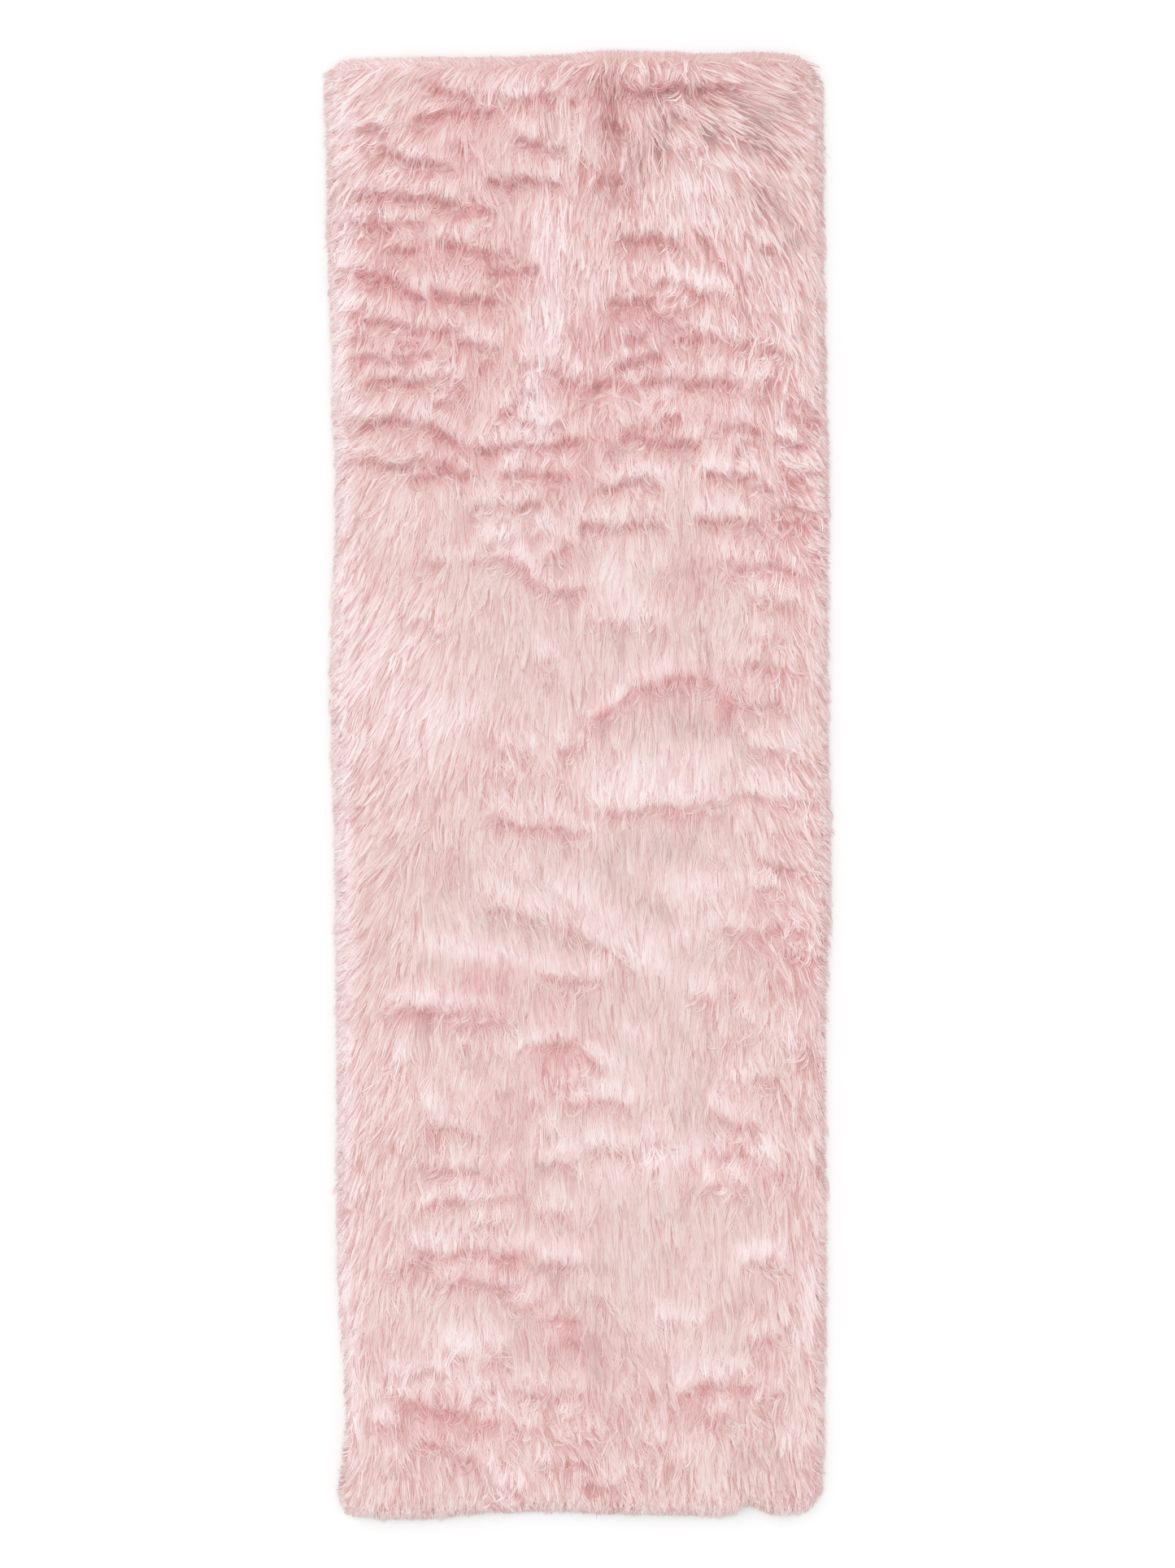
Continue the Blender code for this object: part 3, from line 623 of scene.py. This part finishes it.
def rootPoints(rng):
    across = int((rug["width"] - 2 * pile["rootInset"]) / pile["pitch"])
    along = int((rug["length"] - 2 * pile["rootInset"]) / pile["pitch"])
    i, j = np.indices((across, along)).reshape(2, -1)
    u = (i + 0.5 + rng.uniform(-0.5, 0.5, i.size)) / across
    v = (j + 0.5 + rng.uniform(-0.5, 0.5, i.size)) / along
    return placeOnRug(u, v, pile["rootInset"])


def drawnTogether(plan, roots, index, centres, mood, pull, rows):
    # draws strands towards the middle strand of their tuft, most at the tips
    guides, _, _, _ = strandPlans(centres[:, 0], centres[:, 1], mood, rows)
    weight = pull * np.linspace(0, 1, plan.shape[1])[None, :, None] ** pile["pullPower"]
    target = guides[index] + pile["keptApart"] * (roots - centres[index])[:, None, :]
    return plan + weight * (target - plan)


def ribbons(path, width, tilt, twist):
    # a tapering strip along each path, two points a step and one at the tip, with rounded normals;
    # it is rolled by its tilt at the root, and by its twist more at the tip
    count, points = path.shape[:2]
    share = np.linspace(0, 1, points)
    tangent = np.gradient(path, axis=1)
    tangent /= np.maximum(np.linalg.norm(tangent, axis=2, keepdims=True), tiny)
    flat = np.stack([-tangent[..., 1], tangent[..., 0], np.zeros(tangent.shape[:2])], 2)
    size = np.linalg.norm(flat, axis=2, keepdims=True)
    tip = flat[:, -1:] / np.maximum(size[:, -1:], tiny)
    flat = np.where(size > pile["upright"], flat / np.maximum(size, tiny), tip)
    turn = np.radians(tilt[:, None] + twist[:, None] * share)[..., None]
    upright = np.cross(tangent, flat)
    side = flat * np.cos(turn) + upright * np.sin(turn)
    facing = upright * np.cos(turn) - flat * np.sin(turn)
    half = (width[:, None] * np.interp(share, pile["taperAt"], pile["taper"])[None, :] / 2)[..., None]
    pairs = np.stack([(path - side * half)[:, :-1], (path + side * half)[:, :-1]], 2).reshape(count, -1, 3)
    fan = math.radians(pile["roundness"])
    facing[..., 2] += pile["upward"]
    facing /= np.linalg.norm(facing, axis=2, keepdims=True)
    normals = np.stack([
        facing[:, :-1] * math.cos(fan) - side[:, :-1] * math.sin(fan),
        facing[:, :-1] * math.cos(fan) + side[:, :-1] * math.sin(fan),
    ], 2).reshape(count, -1, 3)
    return np.concatenate([pairs, path[:, -1:]], 1), np.concatenate([normals, facing[:, -1:]], 1)


def placed(name, data):
    made = bpy.data.objects.new(name, data)
    bpy.context.scene.collection.objects.link(made)
    return made


def stripMesh(name, corners, normals, colours, uv):
    # one mesh of strips; corners is (strips, points, 3) in mm, colours the same with 4 numbers
    count, points = corners.shape[:2]
    steps = (points - 1) // 2
    quads = [(2 * k + 1, 2 * k, 2 * k + 2, 2 * k + 3) for k in range(steps - 1)]
    pattern = np.array(sum(quads, ()) + (2 * steps - 1, 2 * steps - 2, 2 * steps))
    starts = np.arange(steps) * 4
    loops = (np.arange(count)[:, None] * points + pattern[None]).ravel()
    faceStart = (np.arange(count)[:, None] * len(pattern) + starts[None]).ravel()
    faceSize = np.tile([4] * (steps - 1) + [3], count)
    mesh = bpy.data.meshes.new(name)
    mesh.vertices.add(count * points)
    mesh.vertices.foreach_set("co", (corners * mm).astype(np.float32).ravel())
    mesh.loops.add(len(loops))
    mesh.loops.foreach_set("vertex_index", loops.astype(np.int32))
    mesh.polygons.add(len(faceStart))
    mesh.polygons.foreach_set("loop_start", faceStart.astype(np.int32))
    mesh.polygons.foreach_set("loop_total", faceSize.astype(np.int32))
    mesh.polygons.foreach_set("use_smooth", np.ones(len(faceStart), bool))
    mesh.update(calc_edges=True)
    mesh.normals_split_custom_set_from_vertices(normals.reshape(-1, 3).astype(np.float32))
    layer = mesh.attributes.new("strand", "FLOAT_COLOR", "POINT")
    layer.data.foreach_set("color", colours.astype(np.float32).ravel())
    bake = mesh.uv_layers.new(name="OFBake", do_init=False)
    bake.uv.foreach_set("vector", uv[:, pattern].astype(np.float32).ravel())
    return placed(name, mesh)


# the place of a strip in its cell of the sheet that its colours are baked on
bakeCell = {"tall": 6, "left": 0.12, "right": 0.88, "foot": 0.04, "height": 0.92}


def stripUv(count, points):
    # each strip has its own upright cell of a square sheet
    columns = int(math.ceil(math.sqrt(count * bakeCell["tall"])))
    rows = int(math.ceil(count / columns))
    column, row = np.arange(count) % columns, np.arange(count) // columns
    steps = (points - 1) // 2
    v = np.concatenate([np.repeat(np.linspace(0, 1, steps + 1)[:-1], 2), [1]])
    u = np.concatenate([np.tile([bakeCell["left"], bakeCell["right"]], steps), [0.5]])
    up = row[:, None] + bakeCell["foot"] + bakeCell["height"] * v[None]
    return np.stack([(column[:, None] + u[None]) / columns, up / rows], 2)


def makePile():
    rng = np.random.default_rng(rug["seed"])
    rows = allFolds(rng)
    heights = makeSurface(rows, rng)
    print("surface ready, creases", len(rows))
    x, y = rootPoints(rng)
    count = len(x)
    roots = np.stack([x, y], 1)
    big, bigCentres = nearestClump(x, y, pile["bigClump"], rng)
    small, smallCentres = nearestClump(x, y, pile["smallClump"], rng)
    parent = nearestOf(smallCentres, bigCentres)
    bigMood = pile["bigMood"] * rng.normal(size=(moodCount, len(bigCentres)))
    smallMood = pile["smallMood"] * rng.normal(size=(moodCount, len(smallCentres)))
    ownMood = rng.normal(size=(moodCount, count))
    stray = rng.random(count) < pile["strayShare"]
    ownShare = np.where(stray, pile["strayMood"], pile["ownMood"])
    mood = bigMood[:, big] + smallMood[:, small] + ownShare * ownMood
    plan, squeeze, laid, held = strandPlans(x, y, mood, rows)
    drawn = drawnTogether(plan, roots, big, bigCentres, bigMood, pile["bigPull"], rows)
    guideMood = bigMood[:, parent] + smallMood
    drawn = drawnTogether(drawn, roots, small, smallCentres, guideMood, pile["smallPull"], rows)
    plan = keptInside(np.where(stray[:, None, None], plan, drawn), mood)
    width = pile["width"] * (1 + pile["widthSpread"] * rng.normal(size=count).clip(-1.8, 2.2))
    dark = rng.random(count) < pile["darkShare"]
    width *= np.where(stray | dark, pile["thin"], 1)
    middle = 1 - np.hypot(*(roots - smallCentres[small]).T) / (pile["lockHalf"] * pile["smallClump"])
    lock = np.stack([middle.clip(-0.2, 1), lockStrength(x, y), dark, held])
    liftShare = rng.random(count) + pile["strayLift"] * stray
    liftShare = liftShare + pile["lockLift"] / pile["liftSpread"] * lock[0] * lock[1]
    path = laidOnSurface(plan, heights, squeeze, laid, mood, liftShare)
    step = np.diff(plan, axis=1)
    turn = np.diff(np.unwrap(np.arctan2(step[..., 1], step[..., 0]), axis=1), axis=1)
    bent = np.abs(turn).sum(1)
    curly = bent > np.quantile(bent, 1 - pile["curlyShare"])
    made = []
    for name, chosen, kept in (("curly", curly, slice(None)), ("combed", ~curly, list(pile["fewSegments"]))):
        fromFoot = np.flatnonzero(chosen)
        fromFoot = fromFoot[np.argsort(y[fromFoot])]
        for band, part in enumerate(np.array_split(fromFoot, pile[name + "Bands"])):
            strands = path[part][:, kept], width[part] * pile[name + "Width"], mood[:, part], lock[:, part]
            made.append(strandBand(f"{name}_{band + 1}", *strands, heights))
    print("pile strands", count)
    made.append(rimStrands(heights))
    return made, heights


# the short hair round the rim, mm: it hangs over the sides, and topStrands come up over the top edge
rim = {
    "strands": 7000, "inset": 8.0, "insetSpread": 1.5, "reach": 8.6, "reachSpread": 0.14,
    "low": 4.5, "high": 14.0, "tipHeight": 1.2, "flow": 0.7, "swing": 9, "width": 1.6,
    "points": 4, "bow": 0.15,
    "topStrands": 1900, "topInset": (7, 21), "topOver": 1.5,
}


def rimStrands(heights):
    rng = np.random.default_rng(rug["seed"] + 1)
    count = rim["strands"] + rim["topStrands"]
    top = np.arange(count) >= rim["strands"]
    onSide = (rng.random(count) < rug["length"] / (rug["length"] + rug["width"])) & ~top
    end, share = np.where(top, 1.0, rng.integers(0, 2, count)), rng.random(count)
    inset = rim["inset"] + rim["insetSpread"] * rng.uniform(-1, 1, count)
    inset[top] = rng.uniform(*rim["topInset"], top.sum())
    x, y = placeOnRug(np.where(onSide, end, share), np.where(onSide, share, end), inset)
    mood = rng.normal(size=(moodCount, count))
    _, nx, ny = fromEdge(x, y)
    heading, _ = combFlow(x, y)
    heading = np.arctan2(ny + rim["flow"] * np.sin(heading), nx + rim["flow"] * np.cos(heading))
    heading += math.radians(rim["swing"]) * mood[inHeading]
    spread = 1 + rim["reachSpread"] * mood[inLength].clip(-1.5, 1.5)
    reach = np.where(top, inset + rim["topOver"], rim["reach"]) * spread
    share = np.linspace(0, 1, rim["points"])
    run = reach[:, None] * share * (1 + rim["bow"] - rim["bow"] * share)
    way = np.stack([np.cos(heading), np.sin(heading)], 1)[:, None]
    plan = np.stack([x, y], 1)[:, None] + run[..., None] * way
    rootHeight = rng.uniform(rim["low"], rim["high"], count)[:, None]
    height = rootHeight * (1 - share ** 2) + rim["tipHeight"] * share ** 2
    plan = keptInside(plan, mood)
    over = laidOnSurface(plan, heights, np.zeros(count), np.ones(count), mood, rng.random(count))
    path = np.where(top[:, None, None], over, np.concatenate([plan, height[..., None]], 2))
    lock = np.stack([np.zeros(count), lockStrength(x, y), np.zeros(count), np.zeros(count)])
    print("rim strands", count)
    return strandBand("rim", path, np.full(count, rim["width"]), mood, lock, heights)


# the strands' colours. In calm pile the roots are paler, and hair under a crease is darker with painted
# shade, but not the tips that lie over it
tones = {
    "crispFrom": 200, "crispRun": 300, "edgeCalm": 0.8, "calmRoots": 0.5, "calmShade": 0.24, "calmPart": 0.4,
    "middle": 0.5, "spread": 0.09, "parted": 0.35, "lock": 0.4, "lockHalf": 0.5, "dark": 0.5,
    "creaseBlush": 2.2, "creaseShade": 1.2, "creasePower": 1.5, "tipsOver": 0.75, "blushSpread": 0.3,
    "lockShine": 0.9, "lockShineAt": 0.5, "lockShineSpread": 0.6, "shineSpread": 0.4, "shadeSpread": 0.3,
}


def strandBand(name, path, width, mood, lock, heights):
    # one mesh of strands; its colour attribute holds along, tone, blush (painted pinker shade), and painted
    # highlight (shine) over painted shade (shade).
    # lock holds each strand's place in its lock, the lock's strength, if the strand is dark, and how
    # firmly a crease stops it
    count, points = path.shape[:2]
    tilt = pile["tilt"] * mood[inLift] + pile["toneTilt"] * mood[inTone]
    corners, normals = ribbons(path, width, tilt, pile["twist"] * mood[inWave])
    corners[..., 2] = corners[..., 2].clip(pile["stripLowest"], None)
    colours = np.ones(corners.shape[:2] + (4,))
    atX, atY = corners[..., 0], corners[..., 1]
    middle, strength, dark, held = lock[:, :, None]
    lift, tone, phase = mood[[inLift, inTone, inPhase]][:, :, None]
    along = np.concatenate([np.repeat(np.linspace(0, 1, points)[:-1], 2), [1]])[None]
    names = ("edge", "parted", "crease", "blush", "shine", "shade")
    edge, parted, crease, blush, shine, shade = (gridAt(heights[name], atX, atY) for name in names)
    crisp = np.maximum(smooth((atY - tones["crispFrom"]) / tones["crispRun"]), lockStrength(atX, atY))
    crisp *= 1 - tones["edgeCalm"] * edge
    clear = tones["calmPart"] + (1 - tones["calmPart"]) * crisp
    colours[..., 0] = 1 - (1 - along) * (tones["calmRoots"] + (1 - tones["calmRoots"]) * crisp)
    tone = tones["middle"] + tones["spread"] * (1 + messiness(atX, atY)) * tone
    # painted shade in the partings
    tone = tone - tones["parted"] * parted
    # painted highlight on each lock's middle and painted shade at its sides
    tone += tones["lock"] * strength * (middle - tones["lockHalf"])
    # the dark strands paint thin lines of shade among the hair
    tone -= tones["dark"] * dark * clear
    colours[..., 1] = tone.clip(0, 1)
    # painted shade under a crease, pinker and darker, but not on the tips that lie over it
    under = crease * (1 - tones["tipsOver"] * held * along)
    blush = blush + tones["creaseBlush"] * under
    colours[..., 2] = (blush * (1 + tones["blushSpread"] * phase)).clip(0, 1)
    # painted highlight along the middle of each lock
    gleam = tones["lockShineAt"] + tones["lockShineSpread"] * lift
    lockShine = tones["lockShine"] * strength * middle * gleam
    shine = shine * (1 + tones["shineSpread"] * lift)
    shine = (shine + lockShine.clip(0, None) * np.sin(math.pi * along ** 0.8)).clip(0, 1)
    shade = (shade + tones["calmShade"] * (1 - crisp)) * (1 - tones["shadeSpread"] * lift)
    shade += tones["creaseShade"] * clear * under.clip(0, 1) ** tones["creasePower"]
    colours[..., 3] = (hair["plain"] + (1 - hair["plain"]) * shine - hair["plain"] * shade).clip(0, 1)
    shifted = corners + np.array([rug["shiftX"], rug["shiftY"], 0])
    return stripMesh(name, shifted, normals, colours, stripUv(count, corners.shape[1]))


# the soft hair beneath, mm; it is this far under the surface, and this low at its edge
underHair = {
    "acrossCells": 84, "alongCells": 250, "inset": 7, "under": 0.5, "low": 1.5,
    "deep": (0.74, 0.49, 0.48), "pale": (0.82, 0.59, 0.575),
}

# the ground fabric, mm
backing = {
    "inset": 8, "thickness": 2.2, "acrossCells": 30, "alongCells": 90,
    "deep": (0.66, 0.44, 0.43), "pale": (0.88, 0.70, 0.68),
}


def sheetGrid(across, along, inset):
    i, j = np.meshgrid(np.arange(across + 1), np.arange(along + 1), indexing="ij")
    x, y = placeOnRug(i / across, j / along, inset)
    cells = np.arange((across + 1) * (along + 1)).reshape(across + 1, along + 1)
    faces = np.stack([cells[:-1, :-1], cells[1:, :-1], cells[1:, 1:], cells[:-1, 1:]], 2).reshape(-1, 4)
    return x, y, cells, faces


def gridObject(name, points, faces):
    mesh = bpy.data.meshes.new(name)
    mesh.from_pydata((points * mm).tolist(), [], faces.tolist())
    mesh.shade_smooth()
    return placed(name, mesh)


def makeUndercoat(heights):
    x, y, _, faces = sheetGrid(underHair["acrossCells"], underHair["alongCells"], underHair["inset"])
    height = gridAt(heights["height"], x, y) - underHair["under"]
    for border in (height[0], height[-1], height[:, 0], height[:, -1]):
        border[:] = underHair["low"]
    height = height.clip(underHair["low"], None)
    points = np.stack([x + rug["shiftX"], y + rug["shiftY"], height], 2).reshape(-1, 3)
    return gridObject("undercoat", points, faces)


def makeBacking():
    # a closed sheet: two faces of one grid, and walls round its border
    x, y, cells, faces = sheetGrid(backing["acrossCells"], backing["alongCells"], backing["inset"])
    flat = np.stack([x.ravel() + rug["shiftX"], y.ravel() + rug["shiftY"]], 1)
    count = len(flat)
    lower = np.column_stack([flat, np.zeros(count)])
    upper = np.column_stack([flat, np.full(count, backing["thickness"])])
    border = np.concatenate([cells[:, 0], cells[-1, 1:], cells[-2::-1, -1], cells[0, -2:0:-1]])
    after = np.roll(border, -1)
    walls = np.stack([border, after, after + count, border + count], 1)
    faces = np.concatenate([faces[:, ::-1], faces + count, walls])
    return gridObject("backing", np.concatenate([lower, upper]), faces)


class Wire:
    def __init__(self, graph, socket):
        self.graph, self.socket = graph, socket

    def maths(self, operation, first, second):
        return self.graph.add("ShaderNodeMath", {"operation": operation}, {0: first, 1: second})

    def __add__(self, other):
        return self.maths("ADD", self, other)

    def __radd__(self, other):
        return self.maths("ADD", other, self)

    def __sub__(self, other):
        return self.maths("SUBTRACT", self, other)

    def __rsub__(self, other):
        return self.maths("SUBTRACT", other, self)

    def __mul__(self, other):
        return self.maths("MULTIPLY", self, other)

    def __rmul__(self, other):
        return self.maths("MULTIPLY", other, self)

class Graph:
    def __init__(self, name):
        self.material = bpy.data.materials.new(name)
        self.material.use_nodes = True
        self.tree = self.material.node_tree
        self.shader = self.tree.nodes["Principled BSDF"]

    def add(self, kind, settings, sockets, output=0):
        node = self.tree.nodes.new(kind)
        for name, value in settings.items():
            if name == "stops":
                self.setStops(node.color_ramp, value)
            else:
                setattr(node, name, value)
        for name, value in sockets.items():
            self.feed(node.inputs[name], value)
        return Wire(self, node.outputs[output])

    def outputOf(self, wire, output):
        return Wire(self, wire.socket.node.outputs[output])

    def setStops(self, ramp, stops):
        while len(ramp.elements) < len(stops):
            ramp.elements.new(1.0)
        for element, (at, colour) in zip(ramp.elements, stops):
            element.position, element.color = at, (*colour, 1)

    def feed(self, socket, value):
        if isinstance(value, Wire):
            self.tree.links.new(value.socket, socket)
        else:
            socket.default_value = value

    def mixColour(self, share, first, second, blend="MIX"):
        # inputs 6 and 7 and output 2 are the ones for colours
        settings = {"data_type": "RGBA", "blend_type": blend}
        return self.add("ShaderNodeMix", settings, {0: share, 6: first, 7: second}, output=2)

    def finish(self, **sockets):
        for name, value in sockets.items():
            self.feed(self.shader.inputs[name.replace("_", " ")], value)
        return self.material


# the strands' finish
hair = {
    # the roots are darker and pinker than the tips, partly the hair's own colour and partly painted shade
    # deep in the pile; blush is mostly painted pinker shade, shine painted highlight, shade painted shade
    "root": (0.79, 0.49, 0.475), "middle": (0.84, 0.63, 0.605), "tip": (0.86, 0.712, 0.69), "rootEnd": 0.1,
    "blush": (0.755, 0.34, 0.352), "blushShare": 0.8,
    "shine": (0.975, 0.863, 0.870), "shineShare": 0.72,
    # plain is the level of the channel of painted highlight over painted shade
    "plain": 0.3,  # the shine channel: paler above this, greyer below
    "shade": (0.69, 0.63, 0.642),
    "roughness": 0.55, "specular": 0.35,
    "toneLow": (0.80, 0.58, 0.585), "toneHigh": (1.04, 1.15, 1.16),
}


def pileMaterial():
    g = Graph("shagPile")
    strand = g.add("ShaderNodeAttribute", {"attribute_name": "strand"}, {})
    shine = g.outputOf(strand, "Alpha")
    parts = g.add("ShaderNodeSeparateColor", {}, {0: strand})
    along, tone, blush = (g.outputOf(parts, k) for k in range(3))
    stops = [(hair["rootEnd"], hair["root"]), (0.5, hair["middle"]), (1.0, hair["tip"])]
    colour = g.add("ShaderNodeValToRGB", {"stops": stops}, {0: along})
    # painted pinker shade
    colour = g.mixColour(blush * hair["blushShare"], colour, (*hair["blush"], 1))
    # painted highlight above the plain level of the channel, painted shade below it
    shining = (shine - hair["plain"]) * (hair["shineShare"] / (1 - hair["plain"]))
    colour = g.mixColour(shining, colour, (*hair["shine"], 1))
    shaded = (hair["plain"] - shine) * (1 / hair["plain"])
    colour = g.mixColour(shaded, colour, (*hair["shade"], 1), "MULTIPLY")
    # tone at random, with the painted shade of partings, lock sides and dark strands and the painted
    # highlight of lock middles
    stops = [(0.0, hair["toneLow"]), (0.5, (1, 1, 1)), (1.0, hair["toneHigh"])]
    light = g.add("ShaderNodeValToRGB", {"stops": stops}, {0: tone})
    colour = g.mixColour(1.0, colour, light, "MULTIPLY")
    return g.finish(Base_Color=colour, Roughness=hair["roughness"], Specular_IOR_Level=hair["specular"])


def undercoatMaterial():
    g = Graph("undercoatPink")
    place = g.add("ShaderNodeTexCoord", {}, {}, output="Object")
    noise = g.add("ShaderNodeTexNoise", {}, {"Vector": place, "Scale": 320.0, "Detail": 4.0})
    colour = g.mixColour(noise, (*underHair["deep"], 1), (*underHair["pale"], 1))
    bump = g.add("ShaderNodeBump", {}, {"Strength": 0.4, "Distance": 0.0006, "Height": noise})
    return g.finish(Base_Color=colour, Roughness=0.9, Specular_IOR_Level=0.2, Normal=bump)


def backingMaterial():
    g = Graph("knitBacking")
    place = g.add("ShaderNodeTexCoord", {}, {}, output="Object")
    ribs = g.add("ShaderNodeTexWave", {"bands_direction": "X"}, {
        "Vector": place, "Scale": 95.0, "Distortion": 1.2, "Detail": 2.0, "Detail Scale": 2.0}, output="Fac")
    stitches = g.add("ShaderNodeTexWave", {"bands_direction": "Y"}, {
        "Vector": place, "Scale": 150.0, "Distortion": 0.8, "Detail": 1.0}, output="Fac")
    noise = g.add("ShaderNodeTexNoise", {}, {"Vector": place, "Scale": 500.0, "Detail": 3.0})
    knit = ribs * 0.5 + stitches * 0.25 + noise * 0.35
    colour = g.mixColour(knit, (*backing["deep"], 1), (*backing["pale"], 1))
    bump = g.add("ShaderNodeBump", {}, {"Strength": 0.5, "Distance": 0.0008, "Height": knit})
    return g.finish(Base_Color=colour, Roughness=0.95, Normal=bump)


# the floor, the light and the camera
studio = {
    "pixelSize": 1.013,  # mm of rug to a pixel of the photograph
    "pictureWidth": 1445, "pictureHeight": 1928,
    "rugPixel": 712,  # how far across the photograph the tables' middle is
    "rugTop": 0.02,  # m, the height that the scale is true at
    "lens": 90, "sensor": 36,
    "world": 0.8, "key": 1.15, "keyFrom": (-1.0, 2.6, 3.2), "softness": 60,
    "floor": (0.96, 0.96, 0.96), "floorHalf": 9, "floorZ": -0.0006,
}


def makeFloor():
    mesh = bpy.data.meshes.new("floor")
    far, z = studio["floorHalf"], studio["floorZ"]
    mesh.from_pydata([(-far, -far, z), (far, -far, z), (far, far, z), (-far, far, z)], [], [(0, 1, 2, 3)])
    floor = placed("floor", mesh)
    g = Graph("paleFloor")
    mesh.materials.append(g.finish(Base_Color=(*studio["floor"], 1), Roughness=0.9, Specular_IOR_Level=0.0))


def softSun(name, place, power):
    data = bpy.data.lights.new(name, "SUN")
    data.energy, data.angle = power, math.radians(studio["softness"])
    lamp = placed(name, data)
    lamp.location = place
    lamp.rotation_euler = (-lamp.location).to_track_quat("-Z", "Y").to_euler()


def makeLight():
    world = bpy.data.worlds.new("studio")
    world.use_nodes = True
    background = world.node_tree.nodes["Background"]
    background.inputs["Color"].default_value = (1, 1, 1, 1)
    background.inputs["Strength"].default_value = studio["world"]
    bpy.context.scene.world = world
    softSun("key", studio["keyFrom"], studio["key"])
    bpy.context.scene.view_settings.view_transform = "Standard"


def makeCamera():
    data = bpy.data.cameras.new("camera")
    data.lens, data.sensor_width = studio["lens"], studio["sensor"]
    camera = placed("camera", data)
    tall = studio["pictureHeight"] * studio["pixelSize"] * mm
    acrossPixel = studio["pictureWidth"] / 2 - studio["rugPixel"]
    camera.location = (
        (acrossPixel * studio["pixelSize"] + rug["shiftX"]) * mm,
        rug["shiftY"] * mm,
        tall * studio["lens"] / studio["sensor"] + studio["rugTop"],
    )
    bpy.context.scene.camera = camera


makeFloor()
makeLight()
makeCamera()
print("stage ready")
bands, heights = makePile()
undercoat = makeUndercoat(heights)
print("undercoat ready")
base = makeBacking()
print("backing ready")
pileLook = pileMaterial()
for band in bands:
    band.data.materials.append(pileLook)
    # the strands cast no shadows; the shade in creases, partings and between locks is painted into their
    # colour
    band.visible_shadow = False  # light passes through such fine hair
undercoat.data.materials.append(undercoatMaterial())
base.data.materials.append(backingMaterial())
for piece in (*bands, undercoat, base):
    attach(piece, "root")
    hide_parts("rug")
print("looks and sheet ready")
